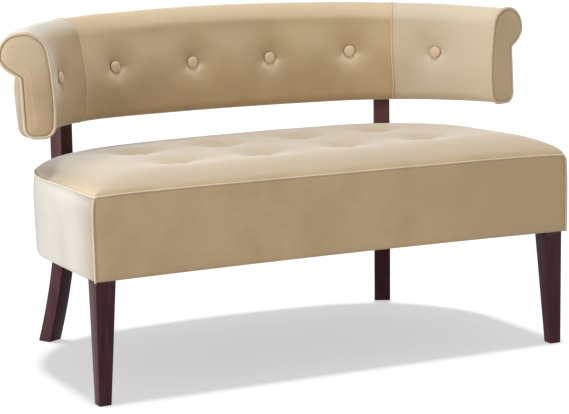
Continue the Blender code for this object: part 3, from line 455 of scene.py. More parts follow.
def back_line(at):
    """Point on the back's front line and its direction toward the rear."""
    side, run = (-1 if at < 0 else 1), abs(at)
    if run <= middle_length:
        turn = run / middle_radius
        x, y = middle_radius * sin(turn), face_y - middle_radius * (1 - cos(turn))
    else:
        turn = min(middle_turn + (run - middle_length) / bend_radius, end_turn)
        past = max(run - middle_length - bend_length, 0)
        x = bend_x + bend_radius * sin(turn) + past * cos(turn)
        y = bend_y + bend_radius * cos(turn) - past * sin(turn)
    return Vector((side * x, y)), Vector((side * sin(turn), cos(turn)))


def back_place(at, point):
    start, normal = back_line(at)
    reach = arm_reach * clamped((abs(at) - arm_start) / arm_run) ** 2
    reach *= clamped((reach_top - point.y) / reach_height)
    forward = Vector((normal.y, -normal.x)) * copysign(reach, at)
    return raised(start + normal * point.x + forward, point.y)


def back_depth(at):
    return end_depth + extra_depth * (1 - (abs(at) / half_length) ** 3)


post_run = middle_length + bend_radius * (post_turn - middle_turn)
line_point, post_normal = back_line(post_run)
post_front = line_point + post_normal * (back_depth(post_run) + post_gap)
post_side = Vector((post_normal.y, -post_normal.x))


def post_place(rearward, sideways, z, side=1):
    spot = post_front + post_normal * rearward + post_side * sideways
    return raised(Vector((side * spot.x, spot.y)), z)


def post_distance(x, y):
    """Distance in plan from the nearer post's section."""
    away = Vector((abs(x), y)) - post_front
    across = max(abs(away.dot(post_side)) - post_width / 2, 0)
    return hypot(max(-away.dot(post_normal), 0), across)


print("back length along its face:", round(2 * half_length, 3),
      "post front at", [round(v, 4) for v in post_front])

# %% [markdown]
# ## The seat's plan and crown
#
# From above, the seat has a straight front, straight sides, round rear corners and a gently
# bowed back edge. The top is a cushion sewn to a welt all round: it rises steeply from the
# welt, then levels off, and two rows of four tufts pull it down. It is hand-filled, so it is
# a little fuller at its front right than at its rear left.

# %% Plan and crown as functions
underside, welt_height, front_arch, arch_run, rear_drop = 0.256, 0.4290, 0.005, 0.06, 0.003
welt_radius, side_inset_middle, side_inset_change = 0.0021, 0.0065, 0.0025
crown, crown_edge, crown_slope, slope_run = 0.0385, 0.115, 0.0065, 0.4
tuft_spacing, tuft_front, tuft_row = 0.1998, 0.1859, 0.2099
tuft_hollows = ((0.0105, 0.050), (0.0050, 0.018))
pleat_depth, pleat_ring, pleat_width = 0.0010, 0.030, 0.018
slack_depth, slack_scale, slack_edge, post_pull = 0.0012, 7, 0.08, 0.006
tufts = [((column - 1.5) * tuft_spacing, tuft_front + row * tuft_row)
         for row in range(2) for column in range(4)]


def seat_edge(turn, inset=0.0):
    """Plan point where the edge's outward direction has turned from rear toward the side."""
    side, turn = (-1 if turn < 0 else 1), abs(turn)
    if turn <= rear_turn:
        radius, center = rear_radius - inset, Vector((0, rear_center))
    else:
        radius, center = corner_radius - inset, Vector((corner_x, side_straight))
    point = center + Vector((sin(turn), cos(turn))) * radius
    return Vector((side * point.x, point.y))


def welt_level(x, y):
    arch = front_arch * (1 - fade(max(half_width - abs(x), 0), arch_run)) * (1 - y / seat_depth)
    return welt_height + arch - rear_drop * y / seat_depth


def edge_distance(x, y):
    across, along = abs(x) - corner_x, y - side_straight
    if along <= 0:
        return half_width - abs(x)
    if atan2(across, along) > rear_turn:
        return corner_radius - hypot(across, along)
    return rear_radius - hypot(x, y - rear_center)


def side_inset(x):
    """How far the cushion's edge is drawn in at the sides, a little more at the left one."""
    return side_inset_middle - side_inset_change * x / half_width


def swell(away):
    part = 1 - clamped(away / crown_edge)
    return sqrt(1 - part * part)


def corner_blend(first, second):
    """Either swell alone where the other is full, and nearly the lesser one at a corner."""
    both = first ** 3 + second ** 3 - (first * second) ** 3
    return first * second / max(both ** (1 / 3), 1e-6)


def hollow(away, sizes):
    """The depth of bells of these depths and widths, one in the other."""
    return sum(depth * bell(away, width) for depth, width in sizes)


def tuft_pull(x, y):
    """How far the tufts pull the top down: a wide soft hollow, a small deep one and pleats."""
    depth = 0
    for tuft_x, tuft_y in tufts:
        away = hypot(x - tuft_x, y - tuft_y)
        if away < 0.2:
            pleats = pleat_depth * cos(4 * atan2(y - tuft_y, x - tuft_x))
            depth += hollow(away, tuft_hollows) + pleats * bell(away - pleat_ring, pleat_width)
    return depth


def seat_top(x, y):
    full = crown - crown_slope * y / slope_run + crown_slope * x / half_width
    from_edge = edge_distance(x, y)
    rise = full * corner_blend(swell(y - front_inset), swell(from_edge - side_inset(x)))
    slack = noise.noise(Vector((x * slack_scale, y * slack_scale, 0))) * slack_depth
    slack *= min(from_edge / slack_edge, 1)
    drawn = post_pull * fade(post_distance(x, y), post_pull)
    return welt_level(x, y) + rise - tuft_pull(x, y) + slack - drawn


print("seat depth:", round(seat_depth, 4), "top at the middle:", round(seat_top(0, 0.3), 4))

# %% [markdown]
# ## The seat cushion
#
# The cushion is one closed form: the tufted top, and walls under its rim down to the plywood.
# Its grid runs in columns from the front edge to the rear edge, so the rim follows the plan
# exactly. Rows lie closer together near both edges, where the crown is steep. The posts pass
# through a notch at each rear corner, which is cut out at the end.

# %% Seat cushion
plywood_top, cushion_rows, even_share = 0.3572, 84, 0.4
notch_gap, notch_depth, notch_levels = 0.0006, 0.09, (0.30, 0.50)
beside_post = post_width / 2 + notch_gap


def row_share(i):
    eased = (1 - even_share) / 2 * (1 - cos(pi * i / cushion_rows))
    return eased + even_share * i / cushion_rows


def seat_cushion():
    shape, grid = bmesh.new(), []
    corner = between(rear_turn, pi / 2, 44)
    middle = between(-rear_turn, rear_turn, 96)[1:-1]
    for turn in [-turn for turn in corner[::-1]] + middle + corner:
        rear = seat_edge(turn, side_inset(seat_edge(turn).x))
        column = []
        for i in range(cushion_rows + 1):
            x, y = rear.x, front_inset + row_share(i) * (rear.y - front_inset)
            column.append(shape.verts.new(raised(Vector((x, y)), seat_top(x, y))))
        grid.append(column)
    for near, far in zip(grid, grid[1:]):
        for i in range(cushion_rows):
            shape.faces.new((near[i], near[i + 1], far[i + 1], far[i]))
    rim = [edge for edge in shape.edges if edge.is_boundary]
    for edge in rim:
        edge.smooth = False
    walls = bmesh.ops.extrude_edge_only(shape, edges=rim)["geom"]
    for item in walls:
        if isinstance(item, bmesh.types.BMVert):
            item.co.z = plywood_top
    floor_edges = [item for item in walls if isinstance(item, bmesh.types.BMEdge)]
    bmesh.ops.holes_fill(shape, edges=floor_edges, sides=0)
    return finish_mesh("seat_cushion", shape, seat_velvet)


def cut_away(piece, tool):
    """Cut the tool's form out of the piece, and remove the tool."""
    change = piece.modifiers.new("cut", "BOOLEAN")
    change.operation, change.solver, change.object = "DIFFERENCE", "EXACT", tool
    bpy.context.view_layer.update()
    depsgraph = bpy.context.evaluated_depsgraph_get()
    mesh = bpy.data.meshes.new_from_object(piece.evaluated_get(depsgraph))
    piece.modifiers.clear()
    piece.data = mesh
    bpy.data.objects.remove(tool)


cushion = seat_cushion()
corners = ((-notch_gap, -beside_post), (-notch_gap, beside_post), (notch_depth, beside_post),
           (notch_depth, -beside_post))
for side in (-1, 1):
    notch = [[post_place(*corner, z, side) for corner in corners] for z in notch_levels]
    cut_away(cushion, closed_loft("post_notch", notch, tan_velvet))
stand_for(cushion, "tan_velvet", "seat_top_cover", "seat_foam")
print("seat cushion faces:", len(cushion.data.polygons))

# %% [markdown]
# ## The seat's sides
#
# Under the welt, four panels of velvet are pulled over the frame's rails. Wadding fills them
# out by a millimetre or two, they are drawn in at the welt and at the corner seams, and at the
# bottom they turn in under the rail. The right front corner stands out a little below the
# welt, and the left side leans in a little.

# %% Side panels
flare_out, flare_spread, flare_drop = 0.0050, 0.05, 0.04
below_welt, cloth_place, cloth_back, cloth_end = 0.0024, 0.0012, 0.0033, 0.0003
seam_fade, hem_fade, pinch_fade, hem_turn, seam_turn = 0.006, 0.003, 0.014, 0.002, 0.001
ripple, panel_steps, panel_end, post_stop = 0.0006, 30, 0.0030, 0.001


def front_edge(x, inset):
    return Vector((x, inset))


def right_edge(run, inset):
    """Right side of the plan: run goes back from the front corner and then round the bend."""
    if run <= side_straight:
        return Vector((half_width - inset, max(run, inset)))
    return seat_edge(pi / 2 - (run - side_straight) / corner_radius, inset)


def left_edge(run, inset):
    point = right_edge(run, inset)
    return Vector((-point.x, point.y))


def flare(spot, below):
    """The right front corner stands out a little below the welt."""
    near = fade(max(spot.y, 0) + max(half_width - spot.x, 0), flare_spread)
    return flare_out * near * (1 - fade(max(below, 0), flare_drop))


def panel(name, edge, places, material, wadding, lean_in, drawn_in=True, arch=0.0):
    """A velvet panel between the welt and the underside, over plan places along an edge."""
    run = [0.0]
    for near, far in zip(places, places[1:]):
        run.append(run[-1] + (edge(far, 0) - edge(near, 0)).length)
    columns = []
    for place, gone in zip(places, run):
        spot = edge(place, 0)
        level = welt_level(spot.x, spot.y)
        pinch = side_inset(spot.x) - front_inset if drawn_in else 0
        top, bottom = level - below_welt, underside + arch * (1 - (spot.x / half_width) ** 2)
        near_end = fade(min(gone, run[-1] - gone), seam_fade)
        column = []
        for j in range(panel_steps + 1):
            z = top + (bottom - top) * (1 - cos(pi * j / panel_steps)) / 2
            near_top, near_bottom = fade(top - z, seam_fade), fade(z - bottom, hem_fade)
            fill = wadding * (1 - near_top) * (1 - near_end) * (1 - near_bottom)
            fill += noise.noise(Vector((spot.x * 9, spot.y * 9, z * 14))) * ripple
            lean = lean_in * (level - z) / (level - underside) + pinch * fade(top - z, pinch_fade)
            turned_in = hem_turn * near_bottom + seam_turn * near_end
            out = Vector((flare(spot, level - z), 0))
            column.append((raised(edge(place, lean + cloth_place - fill + turned_in) + out, z),
                           raised(edge(place, lean + cloth_back) + out, z + cloth_end)))
        columns.append(column)
    return closed_sheet(name, columns, material)


def post_turn_at(sideways, inset=0.003):
    """Turn of the seat's plan where it passes a sideways distance from the post's middle."""
    lateral = (Vector((corner_x, side_straight)) - post_front).dot(post_side)
    return post_turn + asin((sideways - lateral) / (corner_radius - inset))


side_stop = side_straight + corner_radius * (pi / 2 - post_turn_at(beside_post) - post_stop)
rear_stop = post_turn_at(-beside_post) - post_stop
front_places = between(panel_end - half_width, half_width - panel_end, 150)
side_places, rear_places = between(panel_end, side_stop, 110), between(-rear_stop, rear_stop, 120)
for word, *choices in (
        ("front", front_edge, front_places, front_velvet, 0.0017, 0.0027, False, 0.004),
        ("right", right_edge, side_places, side_velvet, 0.0040, 0),
        ("left", left_edge, side_places, painted_sheen_velvet, 0.0002, 0.0036),
        ("back", seat_edge, rear_places, tan_velvet, 0.0017, 0.0027)):
    stand_for(panel(word + "_panel", *choices), "tan_velvet", "seat_skirt_" + word)
print("side panels run", round(side_stop, 3), "m back from the front corners")

# %% [markdown]
# ## The back's section
#
# Cut across, the back has a round bottom edge, a face that leans back a little, and a full
# roll along its top that hangs over the rear. The face is a smooth curve from the edge to the
# roll. Each point also gets its outward direction, so that a button or a seam can pull the
# surface straight in. Toward the arms' ends the wadding fills the roll's front further out,
# more on the left, and the roll's underside is pulled flatter by its stitching.

# %% Section of the back
edge_radius, roll_radius, roll_out, roll_touch = 0.022, 0.046, 0.0655, radians(9.0)
bottom_end, bottom_rise, roll_end, roll_rise = 0.5165, 0.0035, 0.6917, 0.0181
button_places = (-0.5030, -0.2950, -0.0933, 0.1034, 0.3018, 0.5005)
button_raised = (0.0005, 0.0012, -0.0050, -0.0042, 0.0042, 0.0048)
button_share, seam_place, seam_gap, pad_inset = 0.54, 0.4050, 0.0013, 0.0043
pad_end = half_length - pad_inset
flat_start, flat_run, flat_drop, flat_chord = 0.42, 0.1, 0.10, 0.0030
neck_drop, neck_beside, neck_spread = 0.002, 0.022, 0.02
face_full, edge_tuck, low_full, full_left, full_right = 0.0065, 0.0075, 0.0020, 0.0110, 0.0060
button_hollows = ((0.0078, 0.042), (0.0044, 0.017))
rim_depth, rim_radius, fold_depth, fold_ring, fold_width = 0.0030, 0.0162, 0.0004, 0.024, 0.012
seam_pull, end_pull, lean_high, lean_change, lean_spread = 0.0010, 0.0026, 0.0065, 0.0105, 0.04


def back_bottom(at):
    return bottom_end + bottom_rise * (at / half_length) ** 2


def roll_level(at):
    return roll_end + roll_rise * (1 - (abs(at) / half_length) ** 1.5)


def height_share(at, point):
    """How far up a point is, from the bottom edge to the roll's middle."""
    return (point.y - back_bottom(at)) / (roll_level(at) - back_bottom(at))


def arc_points(center, radius, start, end, steps):
    return [(center + turned(turn, radius), turned(turn)) for turn in between(start, end, steps)]


def flattened(at, point):
    """The roll's outer underside is flatter than its circle near the arms' ends."""
    level, near = roll_level(at), clamped((abs(at) - flat_start) / flat_run)
    if point.x < roll_out - 0.01 or point.y > level:
        return point
    turn = degrees(atan2(level - point.y, point.x - roll_out))
    chord = flat_chord * near * sin(pi * clamped((turn - 10) / 75))
    inward = (Vector((roll_out, level)) - point).normalized() * chord
    return Vector((point.x, level + (point.y - level) * (1 - flat_drop * near))) + inward


def neck_of(at):
    """Where the front cover, drawn in straight from under the roll, meets the outside cover."""
    from_post = max(abs(abs(at) - post_run) - neck_beside, 0)
    drop, depth = neck_drop * (1 - bell(from_post, neck_spread)), back_depth(at)
    rise = sqrt(roll_radius ** 2 - (depth - roll_out) ** 2)
    return Vector((depth, roll_level(at) - rise - drop))


def leaving_turn(center, radius, point):
    """The turn on a circle at which a straight line leaves it for a point outside."""
    away = point - center
    return atan2(away.y, away.x) + acos(min(radius / away.length, 1))


def face_bend(at):
    """The face's curve: its start, its bending point, its end, and the edge and roll it joins."""
    roll = Vector((roll_out, roll_level(at)))
    corner = Vector((edge_radius, back_bottom(at) + edge_radius))
    end = roll + turned(pi - roll_touch, roll_radius)
    start_turn = 2 * atan2(end.x, end.y - corner.y) - roll_touch
    start = corner + turned(pi - start_turn, edge_radius)
    leaving, arrival = turned(pi / 2 - start_turn), turned(pi / 2 - roll_touch)
    reach = (end - start).cross(arrival) / leaving.cross(arrival)
    return start, start + leaving * reach, end, corner, start_turn, roll


def face_at(bend, share):
    start, middle, end = bend[:3]
    point = start * (1 - share) ** 2 + middle * (2 * share * (1 - share)) + end * share ** 2
    slope = ((middle - start) * (1 - share) + (end - middle) * share).normalized()
    return point, Vector((-slope.y, slope.x))


def front_profile(at, edge_steps=8, face_steps=30, roll_steps=28, neck_steps=4):
    """Section points and their outward directions, from under the edge to under the roll."""
    bend = face_bend(at)
    corner, start_turn, roll = bend[3:]
    neck = neck_of(at)
    leave = leaving_turn(roll, roll_radius, neck)
    profile = [(Vector((back_depth(at) / 2, back_bottom(at))), Vector((0, -1)))]
    profile += arc_points(corner, edge_radius, -pi / 2, -pi - start_turn, edge_steps)
    profile += [face_at(bend, i / face_steps) for i in range(1, face_steps)]
    profile += arc_points(roll, roll_radius, pi - roll_touch, leave, roll_steps)
    last, normal = profile[-1]
    profile += [(last.lerp(neck, i / neck_steps), normal) for i in range(1, neck_steps + 1)]
    return [(flattened(at, point), normal) for point, normal in profile]


button_levels = [face_at(face_bend(place), button_share)[0].y + above
                 for place, above in zip(button_places, button_raised)]


def belly(at, point):
    """How far wadding fills the face out at its middle, less where the lower edge rolls under."""
    if point.x >= roll_out:
        return 0
    share, under = height_share(at, point), max(1 - point.x / edge_radius, 0)
    free = 1 - bell(max(pad_end - abs(at) - 0.014, 0), 0.05)
    near = clamped((abs(at) - 0.34) / 0.18)
    near *= near * (3 - 2 * near)
    arm = (full_left if at < 0 else full_right) * bell(share - 1, 0.33)
    arm = arm * (1 - (point.x / roll_out) ** 2) - low_full * bell(share, 0.25) * under
    full = face_full * sin(pi * clamped(share)) ** 1.5 + near * arm
    return full - edge_tuck * free * max(1 - share / 0.24, 0) ** 2 * under


def back_pull(at, point):
    """How far buttons, seams and the arm's end pull the face in."""
    pull = -belly(at, point)
    for place, level in zip(button_places, button_levels):
        across, high = at - place, point.y - level
        away = hypot(across, high)
        if away < 0.15 and point.x < roll_out:
            pull += (0.6 if place < -seam_place else 1) * hollow(away, button_hollows)
            pull += rim_depth * exp(-((away / rim_radius) ** 8))
            folds = fold_depth * cos(5 * atan2(high, across) + 0.6)
            pull += folds * bell(away - fold_ring, fold_width)
    if at > -seam_place:
        pull += seam_pull * fade(abs(abs(at) - seam_place), 0.004)
    return pull + end_pull * fade(abs(pad_end - abs(at)), 0.003)


def slant(at, point):
    """How far along the back a point moves so that the wing seams lean."""
    lean = lean_high - lean_change * (1 - clamped(height_share(at, point))) ** 2
    return -copysign(lean * bell(abs(at) - seam_place, lean_spread), at)


print("button heights:", [round(z, 4) for z in button_levels])

# %% [markdown]
# ## The three back pads
#
# The back's front cover is sewn from three pieces: a long one in the middle and one on each
# wing. Each is made as a closed pad, with its face from the section above and its rear side
# a little way behind it, so that the pads and the bent plywood never share space. The two
# seams between them lean: they lie a little nearer the middle at the roll than lower down.

# %% Back pads
pad_step, pad_depth, pad_edge, pad_growth, pad_over_former = 0.0065, 0.012, 0.0015, 0.0010, 0.0019
former_run, least_pad, wave_size, wave_scale, wave_fade = 0.0125, 0.0012, 0.0008, 9, 0.03


def back_pad(name, start, end, material):
    columns = []
    for at in between(start, end, max(2, round((end - start) / pad_step))):
        profile, column = front_profile(at), []
        for i, (point, normal) in enumerate(profile):
            pull = back_pull(at, point)
            spot = Vector((at, point.y, point.x)) * wave_scale + Vector((0, 0, 3))
            wave = noise.noise(spot) * wave_size * min(1, abs(abs(at) - seam_place) / wave_fade)
            padding = min(pad_depth, pad_edge + pad_growth * (len(profile) - 1 - i))
            if abs(at) > pad_end - former_run:
                padding = pad_over_former
            leaned = at + slant(at, point)
            column.append([back_place(leaned, point - normal * inset)
                           for inset in (pull - wave, max(padding, pull + least_pad))])
        columns.append(column)
    return closed_sheet(name, columns, material)


pads = {}
for word, cover, start, end, material in (
        ("middle", "back_middle_cover", seam_gap - seam_place, seam_place - seam_gap,
         middle_velvet),
        ("right", "back_wing_cover_right", seam_place + seam_gap, pad_end, wing_velvet),
        ("left", "back_wing_cover_left", -pad_end, -seam_place - seam_gap, shaded_velvet)):
    pad = pads[word] = back_pad("back_pad_" + word, start, end, material)
    stand_for(pad, "tan_velvet", cover, "back_foam", "back_roll_core")
    print(pad.name, "faces:", len(pad.data.polygons))

# %% [markdown]
# ## The outside of the back
#
# Behind, one flat cover runs over the plywood from arm to arm. It turns under the bottom edge
# to meet the front pads there, ends under the roll, and is turned in over the arms' ends.

# %% Outside cover
tuck, tuck_run, end_swell, swell_run, low_swell = 0.0028, 0.009, 0.0070, 0.038, 0.7
cover_gap, under_roll, cover_over, thickness = 0.0004, 0.0006, 0.0002, 0.0018
turned_in = (0.014, 0.016)


def outside_depth(at):
    """The outside cover is drawn in at the arm's end, where its welt is sewn on."""
    return back_depth(at) - tuck * fade(max(half_length - abs(at), 0), tuck_run)


def outside_profile(at, inset, steps=14):
    """The cover's section. Wadding swells it near the arm's end, less so low on the left."""
    bottom, depth = back_bottom(at), outside_depth(at)
    from_end, low_share = max(half_length - abs(at), 0), 0 if at < 0 else low_swell
    swell_out = end_swell * from_end / swell_run * exp(1 - from_end / swell_run)
    corner = Vector((depth + swell_out * low_share - edge_radius, bottom + edge_radius))
    top = flattened(at, neck_of(at)).y - under_roll
    profile = [(Vector((back_depth(at) / 2 + cover_gap, bottom)), Vector((0, -1)))]
    profile += arc_points(corner, edge_radius, -pi / 2, 0, 8)
    for i in range(1, steps + 1):
        share = i / steps
        out = depth + swell_out * (low_share + (1 - low_share) * min(share / 0.75, 1))
        out += (back_depth(at) - out) * share ** 6
        profile.append((Vector((out, corner.y + (top - corner.y) * share)), Vector((1, 0))))
    return [point - normal * inset for point, normal in profile]


runs = [(at, (0, thickness)) for at in between(pad_end, -pad_end, 190)]
runs = [(pad_end + cover_over, turned_in), *runs, (-pad_end - cover_over, turned_in)]
columns = [list(zip(*[[back_place(at, point) for point in outside_profile(at, inset)]
                      for inset in insets])) for at, insets in runs]
cover = closed_sheet("outside_cover", columns, outside_velvet)
stand_for(cover, "tan_velvet", "back_outside_cover")
print("outside cover made")

# %% [markdown]
# ## The arm ends
#
# Each arm ends in a key-shaped panel, round at the top where the roll is and narrow below,
# with a thick welt all round it. The panel is a padded board, so it bulges gently. Its
# outline is the back's own section, drawn smaller and smaller toward the middle. The left
# one's stem is a little slimmer than the arm, so the outside cover shows beside it.

# %% End panels and their welts
slim_low, slim_high, end_welt_radius = 0.0100, 0.0055, 0.0036
dome_edge, dome_rise, dome_gain, heel_height = 0.0190, 0.0052, 0.0010, 0.026
dome_steps = ((-0.004, 0.0043), (0.0008, 0.0040), (0.0022, 0.0048), (0.0034, 0.0074),
              (0.0042, 0.0112), (0.0048, 0.0150), (dome_rise, dome_edge))


def key_outline(at, inset):
    """The section at the arm's end, drawn in by an inset."""
    slim = 1 if at < 0 else 0
    profile = [point + normal * (belly(at, point) - inset) for point, normal in front_profile(at)]
    front = profile[1:-4]
    run = (profile[-1] - front[-1]).normalized()
    out = outside_depth(at) - inset - slim_high * slim
    neck = front[-1] + run * ((out - front[-1].x) / run.x)
    heel = [point - Vector((slim_low * slim, 0)) for point in outside_profile(at, inset)[1:10]]
    return front + [front[-1].lerp(neck, share) for share in (0.35, 0.7)] + [neck] + heel[::-1]


def end_panel(name, side):
    end = side * half_length
    bottom, outline = back_bottom(end), key_outline(end, dome_edge)
    roll = Vector((roll_out, roll_level(end)))
    stem_middle = back_depth(end) * (0.48 if side > 0 else 0.43)
    rings = [(rise, key_outline(end, inset)) for rise, inset in dome_steps]
    for share in (0.2, 0.4, 0.6, 0.8, 0.95):
        ring = []
        for point in outline:
            low = Vector((stem_middle, min(max(point.y, bottom + heel_height), roll.y)))
            mixed = (low.y - bottom) / (roll.y - bottom)
            ring.append(point.lerp(low.lerp(Vector((roll.x, low.y)), mixed ** 3), share))
        rings.append((dome_rise + dome_gain * (1 - (1 - share) ** 2), ring))
    rings = [[back_place(end + side * rise, point) for point in ring] for rise, ring in rings]
    # The left end panel takes the painted shade and highlight of end_velvet.
    return closed_loft(name, rings, tan_velvet if side > 0 else end_velvet)


for side, word in sides:
    board = end_panel("end_panel_" + word, side)
    stand_for(board, "tan_velvet", "back_end_panel_" + word)
    end = side * half_length
    rim = [back_place(end, point) for point in key_outline(end, 0.0)]
    welt("end_welt_" + word, "back_end_welt_" + word, rim, end_welt_radius, welt_velvet, True)
print("key outline points:", len(rim))

# %% [markdown]
# ## Welts
#
# A welt is a cord wrapped in a bias strip of the same velvet and sewn into the seam. Its velvet
# is painted a little paler than the flat velvet beside it, a painted highlight along the cord.

# %% Seat and back welts
welt_inset, welt_bend, beside_welt = 0.0010, 0.0055, 0.002
upright_radius, upright_top = welt_radius + 0.0002, 0.0036
upright_lean, left_lean = 0.0027, 0.0036
seam_radius, seam_raised, seam_sunk = 0.0020, 0.0007, 0.0026


def side_welt(side):
    """The welt's plan points from the front corner back to the post."""
    inset = welt_inset + side_inset(side * half_width) - front_inset
    stop = pi / 2 - post_turn_at(beside_post + beside_welt, inset)
    run_back = between(0.006, side_straight + corner_radius * stop, 90)[1:]
    center = Vector((half_width - inset - welt_bend, welt_inset + welt_bend))
    points = [center + Vector((sin(turn), cos(turn))) * welt_bend
              for turn in between(pi, pi / 2, 6)]
    points += [right_edge(run, inset) for run in run_back]
    return [Vector((side * point.x, point.y)) for point in points]


front_run = [Vector((x, welt_inset)) for x in between(0.015 - half_width, half_width - 0.012, 120)]
front_path = side_welt(-1)[::-1] + front_run + side_welt(1)
rear_inset = welt_inset + side_inset(0) - front_inset
rear_end = post_turn_at(-beside_post - beside_welt, rear_inset)
rear_path = [seat_edge(turn, rear_inset) for turn in between(-rear_end, rear_end, 110)]
for name, node, path, material in (
        ("seat_welt", "seat_top_welt", front_path, seat_welt_velvet),
        ("seat_welt_rear", "seat_rear_welt", rear_path, welt_velvet)):
    path = [raised(point, welt_level(point.x, point.y)) for point in path]
    welt(name, node, path, welt_radius, material)

for side, word in sides:
    upright = []
    for z in between(underside, welt_height - upright_top, 24):
        below = welt_height - z
        share = below / (welt_height - underside)
        across = 0 if side > 0 else left_lean * share
        across -= flare(Vector((side * half_width, 0)), below)
        across += (side_inset(side * half_width) - front_inset) * fade(below, pinch_fade)
        corner = Vector((side * (half_width - welt_inset - across),
                         upright_lean * share + welt_inset))
        upright.append(raised(corner, z))
    welt("corner_welt_" + word, "seat_corner_welt_" + word, upright, upright_radius, welt_velvet)
    path, place = [], side * seam_place
    for i, (point, normal) in enumerate(front_profile(seam_place)):
        spot = point + normal * (belly(place, point) + seam_raised - seam_sunk * fade(i, 4))
        path.append(back_place(place + slant(place, spot), spot))
    welt("seam_welt_" + word, "back_seam_welt_" + word, path, seam_radius, seam_velvet)
print("welts made")

# %% [markdown]
# ## Buttons
#
# The buttons are covered in the same velvet: a low dome whose cloth is gathered under its rim.
# Each is set down on its cushion along the direction it is pulled, until its rim just meets
# the hollow's sides, which a ray search against the cushion finds. The six on the back sit
# where the photograph shows them, a few millimetres off an even row.

# %% Buttons
button_radius, button_rings, button_sides, button_sunk = 0.0128, 9, 40, 0.0003
dome_base, dome_height, gather_depth, rim_drop = 0.0016, 0.0046, 0.012, 0.0004
search_height, search_start = 0.52, 0.06


def surface_of(piece):
    shape = bmesh.new()
    shape.from_mesh(piece.data)
    tree = BVHTree.FromBMesh(shape)
    shape.free()
    return tree


def covered_button(name, node, tree, origin, direction, material, height=1.0):
    aim = (-direction).to_track_quat("Z", "Y").to_matrix()
    travel = [tree.ray_cast(origin + aim @ spot, direction)[3]
              for share in (0.0, 0.6, 1.0) for spot in circle(24, button_radius * share)]
    place = origin + direction * (min(travel) - button_sunk)
    rows = []
    for i in range(1, button_rings + 1):
        turn, row = pi / 2 * i / button_rings, []
        rise = Vector((0, 0, (dome_base + dome_height * cos(turn) ** 0.6) * height))
        for k in range(button_sides):
            angle = tau * k / button_sides
            gather = 1 - gather_depth * sin(turn) ** 6 * (1 + cos(10 * angle)) / 2
            flat = turned(angle, sin(turn) * button_radius * gather).to_3d()
            row.append(place + aim @ (flat + rise))
        rows.append(row)
    for share, drop in ((0.97, rim_drop), (0.86, 0)):
        rows.append([place + aim @ spot - direction * drop
                     for spot in circle(button_sides, button_radius * share)])
    stand_for(closed_loft(name, rows, material), "tan_velvet_welt", node)


seat_tree, down = surface_of(cushion), Vector((0, 0, -1))
for index, tuft in enumerate(tufts, start=1):
    covered_button(f"seat_tuft_button_{index}", f"seat_button_{index}", seat_tree,
                   raised(Vector(tuft), search_height), down, button_velvet, 0.65)

names = ("left_3", "left_2", "left_1", "right_1", "right_2", "right_3")
trees = {word: surface_of(pad) for word, pad in pads.items()}
trees = [trees["left"], *[trees["middle"]] * 4, trees["right"]]
for name, tree, at, level in zip(names, trees, button_places, button_levels):
    face = [face_at(face_bend(at), i / 99) for i in range(100)]
    point, normal = min(face, key=lambda spot: abs(spot[0].y - level))
    line = back_line(at)[1]
    inward = Vector((line.x * -normal.x, line.y * -normal.x, -normal.y)).normalized()
    covered_button("back_tuft_button_" + name, "back_button_" + name, tree,
                   back_place(at, point) - inward * search_start, inward, painted_highlight_velvet)
print("buttons set:", len(tufts) + len(button_places))

# %% [markdown]
# ## Legs
#
# The front legs are square and taper on their two inner faces. The rear legs are sawn from
# one plank each: a sabre-shaped foot that kicks backward, and a straight post above it. Their
# edges are eased with sandpaper, so each leg is a stack of sections with small round corners.

# %% Legs
leg_top, leg_inset, foot_size, leg_taper = 0.2597, 0.006, 0.027, 0.017
front_rim, rear_rim, foot_kick, foot_deeper, under_neck = 0.0012, 0.001, 0.0553, 0.0005, 0.0015
hole_radius, head_radius, hole_start, hole_end, head_depth = 0.0046, 0.0095, -0.004, 0.1, 0.006


def eased_section(across, along, ease=0.002, steps=3):
    """A rectangle from 0 to its sizes, with rounded corners."""
    points = []
    for x, y, start in ((across - ease, along - ease, 0), (ease, along - ease, 90),
                        (ease, ease, 180), (across - ease, ease, 270)):
        points += [Vector((x, y)) + turned(turn, ease)
                   for turn in between(radians(start), radians(start + 90), steps)]
    return points


def front_leg(name, side):
    rings = []
    for share in [0, 0.004, 0.008] + between(0.05, 0.95, 18) + [0.996, 1]:
        rim = front_rim if share in (0, 1) else 0
        size, start = foot_size + leg_taper * share - 2 * rim, leg_inset + rim
        rings.append([raised(Vector((side * (half_width - start - p.x), start + p.y)),
                             leg_top * share) for p in eased_section(size, size)])
    return closed_loft(name, rings, espresso)


def rear_leg(name, side, stain):
    top = neck_of(post_run).y - under_neck
    levels = [0, 0.0012, 0.003] + between(0.01, underside, 30)
    rings = []
    for z in levels + between(underside + 0.02, top - 0.003, 24) + [top]:
        bent = max(1 - z / underside, 0) ** 1.5
        rim = rear_rim if z in (0, top) else 0
        section = eased_section(post_width - 2 * rim, post_depth + foot_deeper * bent - 2 * rim)
        rings.append([post_place(foot_kick * bent + rim + p.y, p.x + rim - post_width / 2, z, side)
                      for p in section])
    return closed_loft(name, rings, stain)


def round_hole(start, end, radius):
    aim = (end - start).to_track_quat("Z", "Y").to_matrix()
    rings = [[spot + aim @ corner for corner in circle(24, radius)] for spot in (start, end)]
    return closed_loft("hole", rings, espresso)


